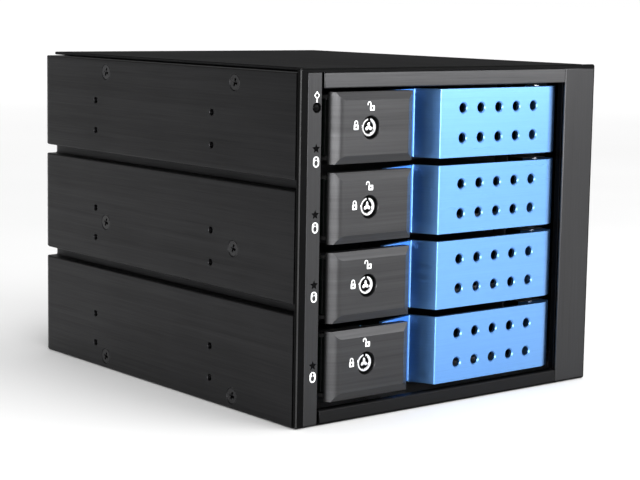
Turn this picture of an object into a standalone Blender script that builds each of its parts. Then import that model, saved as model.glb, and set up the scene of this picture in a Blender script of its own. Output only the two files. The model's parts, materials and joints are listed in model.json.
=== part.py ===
"""Hot-swap drive cage for three 5.25 inch bays, with four sliding 3.5 inch drive trays.

Each tray has a full-width swing handle, hinged at its right end. A locking latch lever is hinged on the
handle's left end, and a key lock turns in the latch. A backplane and an exhaust fan close the rear.

Every size is in millimetres until a mesh is made. "left" is measured from the left outer face, "depth"
from the back plane of the bezel (positive towards the rear) and "height" from the base.
"""

import math

import bmesh
import bpy
from mathutils import Matrix, Vector

MM = 0.001

# Shell
WIDTH = 146.0
HEIGHT = 124.5
FRONT_DEPTH = -5.0
REAR_DEPTH = 193.0
CENTRE_DEPTH = (FRONT_DEPTH + REAR_DEPTH) / 2
SHELL_FRONT = -1.9
SHELL_REAR = 165.9
SHEET = 1.5
THIN_SHEET = 1.2
GAP = 0.3
SIDE_TOP = 123.0
FLANGE = 12.0
COVER_INSET = 4.5
GROOVE_DEPTH = 4.5
GROOVES = ((82.7, 86.4), (39.8, 43.6))
PLATE_RAISE = 1.8
PLATE_FLANGE_TOP = 8.5

# Side holes: the 5.25 inch device pattern, one pair of heights in each bay
PATTERN_DEPTHS = (47.4, 126.64)
PATTERN_HEIGHTS = (9.15, 21.0)
BAY_PITCH = 42.85
BAYS = 3
TAPPED_RADIUS = 1.25
SCREW_DEPTHS = (33.5, 119.0)
SCREW_HEIGHTS = (118.1, 58.75, 4.8)
SCREW_HOLE_RADIUS = 1.6

# Bezel
BEZEL_FRONT = -4.3
BEZEL_STEP = -2.2
BEZEL_BACK = -0.4
RIM_LEFT = 3.3
RIM_RIGHT = 0.4
RIM_TOP = 1.3
RIM_BOTTOM = 0.4
RECESS_BACK = -2.7
TRIM_FRONT = -4.2
TRIM_BACK = -3.0
TRIM_EDGE = 0.3
STRIP_RIGHT = 9.45
OPENING = (10.55, 129.6)
OPENING_HEIGHT = (5.1, 117.8)
RING_MARGIN = 1.9

# Indicators in the left strip
INDICATOR_LEFT = 7.24
BUTTON_HEIGHT = 111.1
BUTTON_RADIUS = 1.6
PIPE_HEIGHTS = (97.1, 74.4, 50.0, 21.7)
PIPE_RADIUS = 0.95
INDICATOR_CLEARANCE = 0.25
INDICATOR_BOARD = ((6.5, 8.1), (1.6, 19.0), (10.0, 117.0))
BUTTON_TRAVEL = 0.6

# Tray positions
TRAYS = 4
TRAY_PITCH = 27.9
TRAY_MIDDLE = 61.85

# Swing handle
HANDLE_HALF = 12.55
SLOPE_HALF = 12.3
POCKET_HALF = 11.3
HANDLE_SHEET = 1.6
HANDLE_FRONT = -3.3
HANDLE_RADIUS = 6.8
PIVOT = (121.2, HANDLE_FRONT + HANDLE_RADIUS)
PIVOT_RADIUS = 1.5
RIDGE_LEFT = 65.7
VALLEY = (61.0, 6.3)
CREST = (38.7, 0.2)
CREST_WIDTH = 2.0
POCKET_DEPTH = 5.3
HANDLE_LEFT = 12.3
KNUCKLE_LEFT = 118.3
PIN_CLEARANCE = 0.25
VENT_LEFT = 76.8
VENT_PITCH = 9.15
VENT_COLUMNS = 5
VENT_ROW = 5.5
VENT_RADIUS = 1.75

# Latch lever
LATCH_HALF = 12.5
LATCH_FRONT = -5.0
LATCH_BACK = -0.4
LATCH_LEFT = 15.0
LATCH_RIGHT = 51.5
LATCH_CHAMFER = 2.9
LATCH_CHAMFER_DEPTH = 1.4
LATCH_PIVOT = (17.4, 3.0)
LATCH_PIN_RADIUS = 1.0
LATCH_KNUCKLE_RADIUS = 2.0
LUG_RADIUS = 3.0
LUG_THICKNESS = 1.2
LATCH_KNUCKLE_HALF = POCKET_HALF - LUG_THICKNESS - GAP

# Key lock
LOCK_LEFT = 30.9
LOCK_RADIUS = 3.35
LOCK_BORE = 4.1
LOCK_BOSS = 5.3
LOCK_FRONT = -4.0
LOCK_BACK = 4.0
LOCK_FACE_RADIUS = 2.4
LOCK_FACE_DEPTH = 0.5
KEYWAY = (1.0, -0.6, 2.0)
KEYWAY_DEPTH = 5.0
BOSS_BACK = 4.4

# Tray
FLOOR_BOTTOM = -13.7
FLOOR_TOP = -12.95
LUG_BOTTOM = 12.85
LUG_TOP = 13.35
TRAY_LEFT = 12.95
TRAY_RIGHT = 118.3
TRAY_WALL = 1.5
TRAY_FRONT = 8.6
TRAY_REAR = 152.0
TRAY_RIM = 9.5
HINGE_LEFT = 114.3
HINGE_RIGHT = 124.8
HINGE_FRONT = 1.0
HINGE_REAR = 20.0
SIDE_START = 13.6
TRAY_WINDOWS = 3
TRAY_WINDOW_LEFT = 72.0
TRAY_WINDOW_WIDTH = 12.5
TRAY_WINDOW_PITCH = 14.0
TRAY_WINDOW_HEIGHTS = (-8.0, 6.5)
TRAY_SLOTS = 4
TRAY_SLOT_LEFT = 21.7
TRAY_SLOT_WIDTH = 16.0
TRAY_SLOT_PITCH = 24.0
TRAY_SLOT_DEPTHS = (26.0, 138.0)
DRIVE_SCREW_DEPTHS = (41.0, 101.0)
DRIVE_SCREW_RAISE = 6.35
DRIVE_SCREW_RADIUS = 1.75
RUNNER_HALF = 3.0
RUNNER_LEFT = 10.95
RUNNER_RIGHT = 120.9
RUNNER_REAR = 150.0

# Guide walls
GUIDE_LEFT = (9.25, 10.25)
GUIDE_RIGHT = (121.6, 122.6)
GUIDE_REAR = 158.0
GUIDE_LEFT_FRONT = 10.0
GUIDE_RIGHT_FRONT = 22.0
LEDGE = 1.5
GUIDE_FLANGE = 5.0
GUIDE_BOTTOM = 3.3
GUIDE_TOP = 121.2

# Backplane and its connectors
BOARD_FRONT = 160.3
BOARD_THICKNESS = 1.6
BOARD_SIDES = (8.5, 139.5)
BOARD_HEIGHTS = (6.0, 119.0)
SOCKET_LEFT = 24.0
SOCKET_SIZE = (42.0, 7.4, 6.6)
SOCKET_DROP = 9.0
SOCKET_SLOTS = ((2.0, 12.5), (15.5, 37.5))
SOCKET_SLOT_HEIGHTS = (2.6, 4.0)
SOCKET_SLOT_DEPTH = 5.0
BOARD_WINDOWS = (((72.0, 112.0), (-4.0, 8.0)), ((30.0, 66.0), (-2.0, 8.0)))
DATA_PORT = (12.0, 14.0, 7.0, 7.0)
DATA_SLOT_SIDE = 2.5
DATA_SLOT_HALF = 1.0
DATA_SLOT_DEPTH = 5.0
POWER_PORT_LEFT = 117.5
POWER_PORT_SIZE = (21.5, 11.0, 11.0)
POWER_PORT_HEIGHTS = (36.0, 88.0)
POWER_PORT_WALL = 1.2
POWER_PIN_RADIUS = 1.0
POWER_PIN_PITCH = 5.08
PORT_MARGIN = 0.6
REAR_PANEL = (164.3, 165.5)

# Fan
FAN_SIZE = 80.0
FAN_FRONT = 166.2
FAN_DEPTH = 25.0
FAN_CENTRE = (WIDTH / 2, HEIGHT / 2)
FAN_THROAT = 38.2
FAN_SCREW_OFFSET = 35.75
FAN_SCREW_RADIUS = 2.2
MOTOR_RADIUS = 18.5
MOTOR_PLATE = 2.6
HUB_RADIUS = 18.0
HUB_DEPTHS = (169.2, 187.8)
BLADES = 7
BLADE_RADIUS = 35.6
GUARD_RINGS = (13.0, 21.5, 30.0, 38.2)
GUARD_WIRE = 1.6

# Facets of a round: the fan's throat, large, small, and drilled through the side panels
THROAT_ROUND = 40
ROUND = 24
SMALL_ROUND = 12
DRILL_ROUND = 8


def start_clean():
    for old in list(bpy.data.objects):
        bpy.data.objects.remove(old, do_unlink=True)


start_clean()
PARTS = bpy.data.collections.new("drive_cage")
HELPERS = bpy.data.collections.new("cutters")
bpy.context.scene.collection.children.link(PARTS)
bpy.context.scene.collection.children.link(HELPERS)


def principled(name, colour, roughness, metallic):
    material = bpy.data.materials.new(name)
    material.use_nodes = True
    shader = material.node_tree.nodes["Principled BSDF"]
    shader.inputs["Base Color"].default_value = (*colour, 1.0)
    shader.inputs["Roughness"].default_value = roughness
    shader.inputs["Metallic"].default_value = metallic
    return material


BLACK_ALUMINIUM = principled("black_anodised_aluminium", (0.028, 0.028, 0.030), 0.45, 0.8)
GREY_ALUMINIUM = principled("dark_grey_anodised_aluminium", (0.085, 0.085, 0.088), 0.42, 0.85)
BLUE_ALUMINIUM = principled("blue_anodised_aluminium", (0.10, 0.34, 0.78), 0.35, 0.85)
BLACK_PLASTIC = principled("black_plastic", (0.012, 0.012, 0.013), 0.5, 0.0)
STEEL = principled("zinc_plated_steel", (0.55, 0.56, 0.58), 0.35, 0.9)
CHROME = principled("chrome", (0.85, 0.85, 0.86), 0.12, 1.0)
CIRCUIT = principled("green_circuit_board", (0.02, 0.12, 0.05), 0.45, 0.0)
LIGHT_PIPE = principled("tinted_light_pipe", (0.05, 0.05, 0.06), 0.15, 0.0)


def place(left, depth, height):
    """A point in the object's frame, in metres: centred left to right and front to back, base at zero."""
    return Vector((left - WIDTH / 2, depth - CENTRE_DEPTH, height)) * MM


def helper_object(name, mesh):
    """A construction solid. It is drawn as wire and is never part of the object."""
    item = bpy.data.objects.new(name, mesh)
    item.hide_render = True
    item.display_type = "WIRE"
    HELPERS.objects.link(item)
    return item


def block(left, depth, height):
    """A box between two values of left, two of depth and two of height."""
    low = place(left[0], depth[0], height[0])
    high = place(left[1], depth[1], height[1])
    size = high - low
    cage = bmesh.new()
    bmesh.ops.create_cube(cage, size=1.0)
    bmesh.ops.scale(cage, vec=size, verts=cage.verts)
    bmesh.ops.translate(cage, vec=(low + high) / 2, verts=cage.verts)
    mesh = bpy.data.meshes.new("block")
    cage.to_mesh(mesh)
    cage.free()
    return helper_object("block", mesh)


TURN_TO_AXIS = {
    "left": Matrix.Rotation(math.pi / 2, 4, "Y"),
    "depth": Matrix.Rotation(-math.pi / 2, 4, "X"),
    "height": Matrix.Identity(4),
}


def rod(axis, radius, start, end, segments=ROUND):
    """A cylinder along one axis between two points given as (left, depth, height)."""
    low = place(*start)
    high = place(*end)
    middle = Matrix.Translation((low + high) / 2)
    cage = bmesh.new()
    bmesh.ops.create_cone(
        cage,
        cap_ends=True,
        segments=segments,
        radius1=radius * MM,
        radius2=radius * MM,
        depth=(high - low).length,
        matrix=middle @ TURN_TO_AXIS[axis],
    )
    mesh = bpy.data.meshes.new("rod")
    cage.to_mesh(mesh)
    cage.free()
    return helper_object("rod", mesh)


def extruded(loops, thickness, frame):
    """Flat loops in the frame's own XY plane, extruded half the thickness each way along the frame's Z.

    A loop inside another is a hole.
    """
    curve = bpy.data.curves.new("outline", "CURVE")
    curve.dimensions = "2D"
    curve.fill_mode = "BOTH"
    curve.extrude = thickness * MM / 2
    for loop in loops:
        spline = curve.splines.new("POLY")
        spline.points.add(len(loop) - 1)
        for control, (across, along) in zip(spline.points, loop):
            control.co = (across * MM, along * MM, 0.0, 1.0)
        spline.use_cyclic_u = True
    drawn = bpy.data.objects.new("outline", curve)
    drawn.matrix_world = frame
    HELPERS.objects.link(drawn)
    bpy.context.view_layer.update()
    evaluated = drawn.evaluated_get(bpy.context.evaluated_depsgraph_get())
    mesh = bpy.data.meshes.new_from_object(evaluated)
    cage = bmesh.new()
    cage.from_mesh(mesh)
    bmesh.ops.remove_doubles(cage, verts=cage.verts, dist=1e-6)
    bmesh.ops.recalc_face_normals(cage, faces=cage.faces)
    cage.transform(drawn.matrix_world)
    cage.to_mesh(mesh)
    cage.free()
    bpy.data.objects.remove(drawn)
    return helper_object("outline", mesh)


def plan_solid(outline, bottom, top):
    """An outline of (left, depth) points, standing between two heights."""
    origin = place(0.0, 0.0, (bottom + top) / 2)
    return extruded([outline], top - bottom, Matrix.Translation(origin))


def section_solid(loops, front, rear):
    """Loops of (left, height) points, running between two depths."""
    origin = place(0.0, (front + rear) / 2, 0.0)
    stand = Matrix.Rotation(math.pi / 2, 4, "X")
    return extruded(loops, rear - front, Matrix.Translation(origin) @ stand)


def profile_solid(outline, start, end):
    """An outline of (depth, height) points, running between two values of left."""
    origin = place((start + end) / 2, 0.0, 0.0)
    stand = Matrix.Rotation(math.pi / 2, 4, "Z") @ Matrix.Rotation(math.pi / 2, 4, "X")
    return extruded([outline], end - start, Matrix.Translation(origin) @ stand)


def arc(centre, radii, start_degrees, end_degrees, steps):
    """Points along an elliptical arc, both ends included."""
    points = []
    for step in range(steps + 1):
        angle = math.radians(start_degrees + (end_degrees - start_degrees) * step / steps)
        points.append((centre[0] + radii[0] * math.cos(angle), centre[1] + radii[1] * math.sin(angle)))
    return points


def offset_path(path, distance):
    """The path moved to its right-hand side by a distance, with mitred corners."""
    moved = []
    for index, here in enumerate(path):
        here = Vector(here)
        normals = []
        for start, end in ((index - 1, index), (index, index + 1)):
            if start >= 0 and end < len(path):
                along = (Vector(path[end]) - Vector(path[start])).normalized()
                normals.append(Vector((along.y, -along.x)))
        mitre = sum(normals, Vector((0.0, 0.0))).normalized()
        moved.append(tuple(here + mitre * distance / mitre.dot(normals[0])))
    return moved


def sheet_outline(path, thickness):
    """The closed outline of a bent sheet whose outer face follows the path."""
    return list(path) + list(reversed(offset_path(path, thickness)))


def combine(target, others, operation):
    for other in others:
        modifier = target.modifiers.new(operation.lower(), "BOOLEAN")
        modifier.operation = operation
        modifier.solver = "EXACT"
        modifier.object = other
    return target


def joined(target, *others):
    return combine(target, others, "UNION")


def cut(target, *others):
    return combine(target, others, "DIFFERENCE")


def common(target, *others):
    return combine(target, others, "INTERSECT")


def soften(target, width, segments=1):
    modifier = target.modifiers.new("edges", "BEVEL")
    modifier.width = width * MM
    modifier.segments = segments
    modifier.limit_method = "ANGLE"
    return target


def bake(solid, origin):
    """The finished mesh of a construction solid, with its own origin at the given point."""
    bpy.context.view_layer.update()
    evaluated = solid.evaluated_get(bpy.context.evaluated_depsgraph_get())
    mesh = bpy.data.meshes.new_from_object(evaluated)
    cage = bmesh.new()
    cage.from_mesh(mesh)
    bmesh.ops.remove_doubles(cage, verts=cage.verts, dist=1e-6)
    bmesh.ops.dissolve_degenerate(cage, edges=cage.edges, dist=1e-6)
    bmesh.ops.translate(cage, vec=-origin, verts=cage.verts)
    cage.to_mesh(mesh)
    cage.free()
    mesh.shade_smooth()
    mesh.set_sharp_from_angle(angle=math.radians(30))
    used = [modifier.object for modifier in solid.modifiers if modifier.type == "BOOLEAN"]
    for item in used:
        remove_tree(item)
    bpy.data.objects.remove(solid)
    return mesh


def remove_tree(item):
    """Removes a construction solid and the solids that shaped it."""
    for modifier in list(item.modifiers):
        if modifier.type == "BOOLEAN":
            remove_tree(modifier.object)
    bpy.data.objects.remove(item)


def add_part(name, mesh, material, origin, parent=None):
    """A named piece of the object. Its origin is where its mesh's own origin goes."""
    mesh.materials.clear()
    mesh.materials.append(material)
    piece = bpy.data.objects.new(name, mesh)
    piece.location = origin
    PARTS.objects.link(piece)
    if parent is not None:
        bpy.context.view_layer.update()
        piece.parent = parent
        piece.matrix_parent_inverse = parent.matrix_world.inverted()
    return piece


def add_fixed(name, solid, material):
    """A piece of the cage that doesn't move."""
    return add_part(name, bake(solid, Vector()), material, Vector())


def mirrored(outline):
    """A section outline seen in the cage's middle plane."""
    return [(WIDTH - left, height) for left, height in outline]


def tray_heights():
    """The middle height of each tray, from the top tray down."""
    top = TRAY_MIDDLE + TRAY_PITCH * (TRAYS - 1) / 2
    return [top - TRAY_PITCH * index for index in range(TRAYS)]


# ---------------------------------------------------------------------------------------------- shell


def side_section():
    """The left panel's bent section: a flange at each end, and a rail groove between the bays."""
    path = [(FLANGE, SIDE_TOP), (0.0, SIDE_TOP)]
    for bottom, top in GROOVES:
        path += [(0.0, top), (GROOVE_DEPTH, top), (GROOVE_DEPTH, bottom), (0.0, bottom)]
    path += [(0.0, 0.0), (FLANGE, 0.0)]
    inner = [(left, height) for left, height in offset_path(path, -SHEET)]
    return path + list(reversed(inner))


def side_holes(left_range):
    """Drills for the tapped pattern and for the six countersunk screws of one side panel."""
    drills = []
    for depth in PATTERN_DEPTHS:
        for bay in range(BAYS):
            for height in PATTERN_HEIGHTS:
                level = height + bay * BAY_PITCH
                drills.append((TAPPED_RADIUS, depth, level))
    for depth in SCREW_DEPTHS:
        for level in SCREW_HEIGHTS:
            drills.append((SCREW_HOLE_RADIUS, depth, level))
    return [
        rod("left", radius, (left_range[0], depth, level), (left_range[1], depth, level), DRILL_ROUND)
        for radius, depth, level in drills
    ]


def build_shell():
    section = side_section()
    left_panel = section_solid([section], SHELL_FRONT, SHELL_REAR)
    cut(left_panel, *side_holes((-1.0, SHEET + 1.0)))
    add_fixed("left_side_panel", left_panel, BLACK_ALUMINIUM)

    right_panel = section_solid([mirrored(section)], SHELL_FRONT, SHELL_REAR)
    cut(right_panel, *side_holes((WIDTH - SHEET - 1.0, WIDTH + 1.0)))
    add_fixed("right_side_panel", right_panel, BLACK_ALUMINIUM)

    cover = block(
        (COVER_INSET, WIDTH - COVER_INSET), (SHELL_FRONT, SHELL_REAR), (HEIGHT - THIN_SHEET, HEIGHT)
    )
    add_fixed("top_cover", soften(cover, 0.3), GREY_ALUMINIUM)

    plate_left = SHEET + GAP
    path = [
        (plate_left, PLATE_FLANGE_TOP),
        (plate_left, PLATE_RAISE),
        (WIDTH - plate_left, PLATE_RAISE),
        (WIDTH - plate_left, PLATE_FLANGE_TOP),
    ]
    outline = path + list(reversed(offset_path(path, -THIN_SHEET)))
    add_fixed("bottom_plate", section_solid([outline], BEZEL_BACK + GAP, REAR_PANEL[0] - GAP), STEEL)


# ---------------------------------------------------------------------------------------------- bezel


def build_bezel():
    frame = block((0.0, WIDTH), (BEZEL_FRONT, BEZEL_STEP), (0.0, HEIGHT))
    recess = block(
        (RIM_LEFT, WIDTH - RIM_RIGHT), (BEZEL_FRONT - 1.0, RECESS_BACK), (RIM_BOTTOM, HEIGHT - RIM_TOP)
    )
    ring = block(
        (OPENING[0] - RING_MARGIN, OPENING[1] + 2 * RING_MARGIN),
        (BEZEL_STEP - 0.2, BEZEL_BACK),
        (OPENING_HEIGHT[0] - RING_MARGIN, OPENING_HEIGHT[1] + RING_MARGIN),
    )
    opening = block(OPENING, (BEZEL_FRONT - 1.0, BEZEL_BACK + 1.0), OPENING_HEIGHT)
    cut(frame, recess)
    joined(frame, ring)
    cut(frame, opening, *indicator_holes())
    add_fixed("bezel_frame", frame, BLACK_PLASTIC)

    low = RIM_BOTTOM + 0.1
    high = HEIGHT - RIM_TOP - 0.1
    strip = block((RIM_LEFT + 0.1, STRIP_RIGHT), (TRIM_FRONT, TRIM_BACK), (low, high))
    cut(strip, *indicator_holes())
    add_fixed("indicator_strip", strip, GREY_ALUMINIUM)

    bars = {
        "top_trim": ((OPENING[0], OPENING[1] - 0.1), (OPENING_HEIGHT[1] - 0.2, high)),
        "bottom_trim": ((OPENING[0], OPENING[1] - 0.1), (low, OPENING_HEIGHT[0] + 0.1)),
        "right_trim": ((OPENING[1] + 0.1, WIDTH - RIM_RIGHT - 0.1), (low, high)),
    }
    for name, (left, height) in bars.items():
        bar = block(left, (TRIM_FRONT, TRIM_BACK), height)
        add_fixed(name, soften(bar, TRIM_EDGE), GREY_ALUMINIUM)


def indicator_holes():
    """Holes for the alarm button and for the four light pipes, through the strip and the frame behind it."""
    sizes = [(BUTTON_RADIUS, BUTTON_HEIGHT)] + [(PIPE_RADIUS, height) for height in PIPE_HEIGHTS]
    return [
        rod(
            "depth",
            radius + INDICATOR_CLEARANCE,
            (INDICATOR_LEFT, BEZEL_FRONT - 1.0, height),
            (INDICATOR_LEFT, BEZEL_BACK + 1.0, height),
            SMALL_ROUND,
        )
        for radius, height in sizes
    ]


def build_indicators():
    board_front = INDICATOR_BOARD[1][0]
    add_fixed("indicator_board", block(*INDICATOR_BOARD), CIRCUIT)
    for index, height in enumerate(PIPE_HEIGHTS, start=1):
        pipe = rod(
            "depth",
            PIPE_RADIUS,
            (INDICATOR_LEFT, TRIM_FRONT, height),
            (INDICATOR_LEFT, board_front - GAP, height),
            SMALL_ROUND,
        )
        add_fixed(f"light_pipe_{index}", pipe, LIGHT_PIPE)
    origin = place(INDICATOR_LEFT, TRIM_FRONT, BUTTON_HEIGHT)
    button = rod(
        "depth",
        BUTTON_RADIUS,
        (INDICATOR_LEFT, TRIM_FRONT, BUTTON_HEIGHT),
        (INDICATOR_LEFT, board_front - BUTTON_TRAVEL - GAP, BUTTON_HEIGHT),
        ROUND,
    )
    add_part("alarm_button", bake(button, origin), BLACK_PLASTIC, origin)


# ---------------------------------------------------------------------------------------------- guides


def guide_section(wall, ledge_reach, flange_reach):
    """The section of a guide wall: a sheet with two ledges for each runner and a flange at each end."""
    wall_face = wall[1] if ledge_reach > wall[1] else wall[0]
    far_face = wall[0] if wall_face == wall[1] else wall[1]
    outline = [(far_face, GUIDE_BOTTOM + THIN_SHEET), (flange_reach, GUIDE_BOTTOM + THIN_SHEET)]
    outline += [(flange_reach, GUIDE_BOTTOM), (wall_face, GUIDE_BOTTOM)]
    for middle in reversed(tray_heights()):
        for side in (-1, 1):
            inner = middle + side * (RUNNER_HALF + GAP)
            outer = inner + side * LEDGE
            for height in sorted((inner, outer)):
                edge = [(wall_face, height), (ledge_reach, height)]
                outline += edge if height == min(inner, outer) else reversed(edge)
    outline += [(wall_face, GUIDE_TOP), (flange_reach, GUIDE_TOP)]
    outline += [(flange_reach, GUIDE_TOP - THIN_SHEET), (far_face, GUIDE_TOP - THIN_SHEET)]
    return outline


def build_guides():
    left = guide_section(GUIDE_LEFT, TRAY_LEFT - GAP, GUIDE_LEFT[0] - 2.5)
    add_fixed("left_guide_wall", section_solid([left], GUIDE_LEFT_FRONT, GUIDE_REAR), STEEL)
    right = guide_section(GUIDE_RIGHT, TRAY_RIGHT + GAP, GUIDE_RIGHT[1] + GUIDE_FLANGE)
    add_fixed("right_guide_wall", section_solid([right], GUIDE_RIGHT_FRONT, GUIDE_REAR), STEEL)


# ---------------------------------------------------------------------------------------------- trays


def tray_solid():
    """One tray around its middle height: floor, walls, runners and the two hinge lugs."""
    floor = plan_solid(
        [
            (TRAY_LEFT, TRAY_FRONT),
            (HINGE_LEFT, TRAY_FRONT),
            (HINGE_LEFT, HINGE_FRONT),
            (HINGE_RIGHT, HINGE_FRONT),
            (HINGE_RIGHT, HINGE_REAR),
            (TRAY_RIGHT, HINGE_REAR),
            (TRAY_RIGHT, TRAY_REAR),
            (TRAY_LEFT, TRAY_REAR),
        ],
        FLOOR_BOTTOM,
        FLOOR_TOP,
    )
    wall_inside = TRAY_RIGHT - TRAY_WALL
    upper_lug = plan_solid(
        [
            (HINGE_LEFT, HINGE_FRONT),
            (HINGE_RIGHT, HINGE_FRONT),
            (HINGE_RIGHT, HINGE_REAR),
            (wall_inside, HINGE_REAR),
            (wall_inside, TRAY_FRONT + 1.3),
            (HINGE_LEFT, TRAY_FRONT + 1.3),
        ],
        LUG_BOTTOM,
        LUG_TOP,
    )
    base = FLOOR_BOTTOM + 0.2
    left_wall = block((TRAY_LEFT, TRAY_LEFT + TRAY_WALL), (TRAY_FRONT, TRAY_REAR), (base, TRAY_RIM))
    right_wall = block((wall_inside, TRAY_RIGHT), (SIDE_START, TRAY_REAR), (base, TRAY_RIM))
    post = block((wall_inside, TRAY_RIGHT), (SIDE_START, HINGE_REAR), (TRAY_RIM - 1.0, LUG_TOP - 0.2))
    front_wall = block((TRAY_LEFT, HINGE_LEFT), (TRAY_FRONT, TRAY_FRONT + THIN_SHEET), (base, TRAY_RIM))
    left_runner = block(
        (RUNNER_LEFT, TRAY_LEFT + 0.5), (TRAY_FRONT + 2.0, RUNNER_REAR), (-RUNNER_HALF, RUNNER_HALF)
    )
    right_runner = block(
        (TRAY_RIGHT - 0.5, RUNNER_RIGHT), (HINGE_REAR + 3.0, RUNNER_REAR), (-RUNNER_HALF, RUNNER_HALF)
    )
    joined(floor, left_wall, right_wall, post, front_wall, left_runner, right_runner, upper_lug)

    through_front = (TRAY_FRONT - 1.0, TRAY_FRONT + 3.0)
    for index in range(TRAY_WINDOWS):
        left = TRAY_WINDOW_LEFT + index * TRAY_WINDOW_PITCH
        cut(floor, block((left, left + TRAY_WINDOW_WIDTH), through_front, TRAY_WINDOW_HEIGHTS))
    through_floor = (FLOOR_BOTTOM - 1.0, FLOOR_TOP + 0.5)
    for index in range(TRAY_SLOTS):
        left = TRAY_SLOT_LEFT + index * TRAY_SLOT_PITCH
        cut(floor, block((left, left + TRAY_SLOT_WIDTH), TRAY_SLOT_DEPTHS, through_floor))
    for depth in DRIVE_SCREW_DEPTHS:
        level = FLOOR_TOP + DRIVE_SCREW_RAISE
        start = (TRAY_LEFT - 0.2, depth, level)
        end = (TRAY_RIGHT + 0.2, depth, level)
        cut(floor, rod("left", DRIVE_SCREW_RADIUS, start, end, SMALL_ROUND))
    return cut(floor, pin_drill(PIVOT, PIVOT_RADIUS))


def pin_drill(pivot, radius):
    """A drill for a hinge pin, right through a piece modelled around its middle height."""
    reach = 20.0
    return rod("height", radius + PIN_CLEARANCE, (*pivot, -reach), (*pivot, reach), SMALL_ROUND)


def handle_path():
    """The handle's front face, seen from above, from its rounded hinge end to its left end."""
    rounding = arc(PIVOT, (HANDLE_RADIUS, HANDLE_RADIUS), 25.0, -90.0, 8)
    bends = [
        (RIDGE_LEFT, HANDLE_FRONT),
        VALLEY,
        CREST,
        (CREST[0] - CREST_WIDTH, CREST[1]),
        (CREST[0] - CREST_WIDTH, POCKET_DEPTH),
        (HANDLE_LEFT, POCKET_DEPTH),
    ]
    return rounding, bends


def handle_solid():
    rounding, bends = handle_path()
    hinge_back = rounding[0][1]
    back = offset_path([rounding[-1]] + bends, HANDLE_SHEET)
    outline = rounding + bends + list(reversed(back[1:]))
    outline += [(KNUCKLE_LEFT, HANDLE_FRONT + HANDLE_SHEET), (KNUCKLE_LEFT, hinge_back)]
    body = plan_solid(outline, -HANDLE_HALF, HANDLE_HALF)
    for side in (-1, 1):
        for left, half in ((VALLEY[0], SLOPE_HALF), (CREST[0] - CREST_WIDTH, POCKET_HALF)):
            trimmed = sorted((side * half, side * (HANDLE_HALF + 1.0)))
            cut(body, block((HANDLE_LEFT - 1.0, left), (CREST[1] - 1.0, VALLEY[1] + 3.0), trimmed))
    for side in (-1, 1):
        bottom, top = sorted((side * POCKET_HALF, side * (POCKET_HALF - LUG_THICKNESS)))
        joined(body, plan_solid(lug_outline(), bottom, top))
    drills = [pin_drill(PIVOT, PIVOT_RADIUS), pin_drill(LATCH_PIVOT, LATCH_PIN_RADIUS)]
    for column in range(VENT_COLUMNS):
        for row in (-VENT_ROW, VENT_ROW):
            left = VENT_LEFT + column * VENT_PITCH
            drills.append(
                rod(
                    "depth",
                    VENT_RADIUS,
                    (left, HANDLE_FRONT - 1.0, row),
                    (left, HANDLE_FRONT + HANDLE_SHEET + 1.0, row),
                    SMALL_ROUND,
                )
            )
    return cut(body, *drills)


def lug_outline():
    """A lug for the latch's pin, seen from above: round at the front, standing on the pocket's sheet."""
    base = POCKET_DEPTH + 0.5
    round_front = arc(LATCH_PIVOT, (LUG_RADIUS, LUG_RADIUS), 180.0, 360.0, 8)
    return round_front + [(LATCH_PIVOT[0] + LUG_RADIUS, base), (LATCH_PIVOT[0] - LUG_RADIUS, base)]


def latch_solid():
    """The latch lever: a slab, chamfered on three sides and rounded at its hinge end, and its knuckle."""
    roll_radius = LATCH_BACK - LATCH_FRONT
    roll_centre = (LATCH_LEFT + roll_radius, LATCH_BACK)
    plan = arc(roll_centre, (roll_radius, roll_radius), 180.0, 270.0, 8)
    plan += [
        (LATCH_RIGHT - LATCH_CHAMFER, LATCH_FRONT),
        (LATCH_RIGHT, LATCH_FRONT + LATCH_CHAMFER_DEPTH),
        (LATCH_RIGHT, LATCH_BACK),
    ]
    slab = plan_solid(plan, -LATCH_HALF - 1.0, LATCH_HALF + 1.0)
    before = LATCH_FRONT - LATCH_CHAMFER_DEPTH
    behind = LATCH_BACK + 1.0
    chamfers = profile_solid(
        [
            (before, 2 * LATCH_CHAMFER - LATCH_HALF),
            (LATCH_FRONT + LATCH_CHAMFER_DEPTH, -LATCH_HALF),
            (behind, -LATCH_HALF),
            (behind, LATCH_HALF),
            (LATCH_FRONT + LATCH_CHAMFER_DEPTH, LATCH_HALF),
            (before, LATCH_HALF - 2 * LATCH_CHAMFER),
        ],
        LATCH_LEFT - 2.0,
        LATCH_RIGHT + 2.0,
    )
    common(slab, chamfers)
    neck = block(
        (LATCH_PIVOT[0] - 1.5, LATCH_PIVOT[0] + LATCH_KNUCKLE_RADIUS - 0.3),
        (LATCH_BACK - 1.0, LATCH_PIVOT[1]),
        (-LATCH_KNUCKLE_HALF, LATCH_KNUCKLE_HALF),
    )
    knuckle = rod(
        "height",
        LATCH_KNUCKLE_RADIUS,
        (*LATCH_PIVOT, -LATCH_KNUCKLE_HALF),
        (*LATCH_PIVOT, LATCH_KNUCKLE_HALF),
        SMALL_ROUND,
    )
    boss = rod("depth", LOCK_BOSS, (LOCK_LEFT, LATCH_BACK - 1.0, 0.0), (LOCK_LEFT, BOSS_BACK, 0.0))
    joined(slab, neck, knuckle, boss)
    bore = rod("depth", LOCK_BORE, (LOCK_LEFT, LATCH_FRONT - 1.0, 0.0), (LOCK_LEFT, BOSS_BACK + 1.0, 0.0))
    return cut(slab, bore, pin_drill(LATCH_PIVOT, LATCH_PIN_RADIUS))


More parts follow.
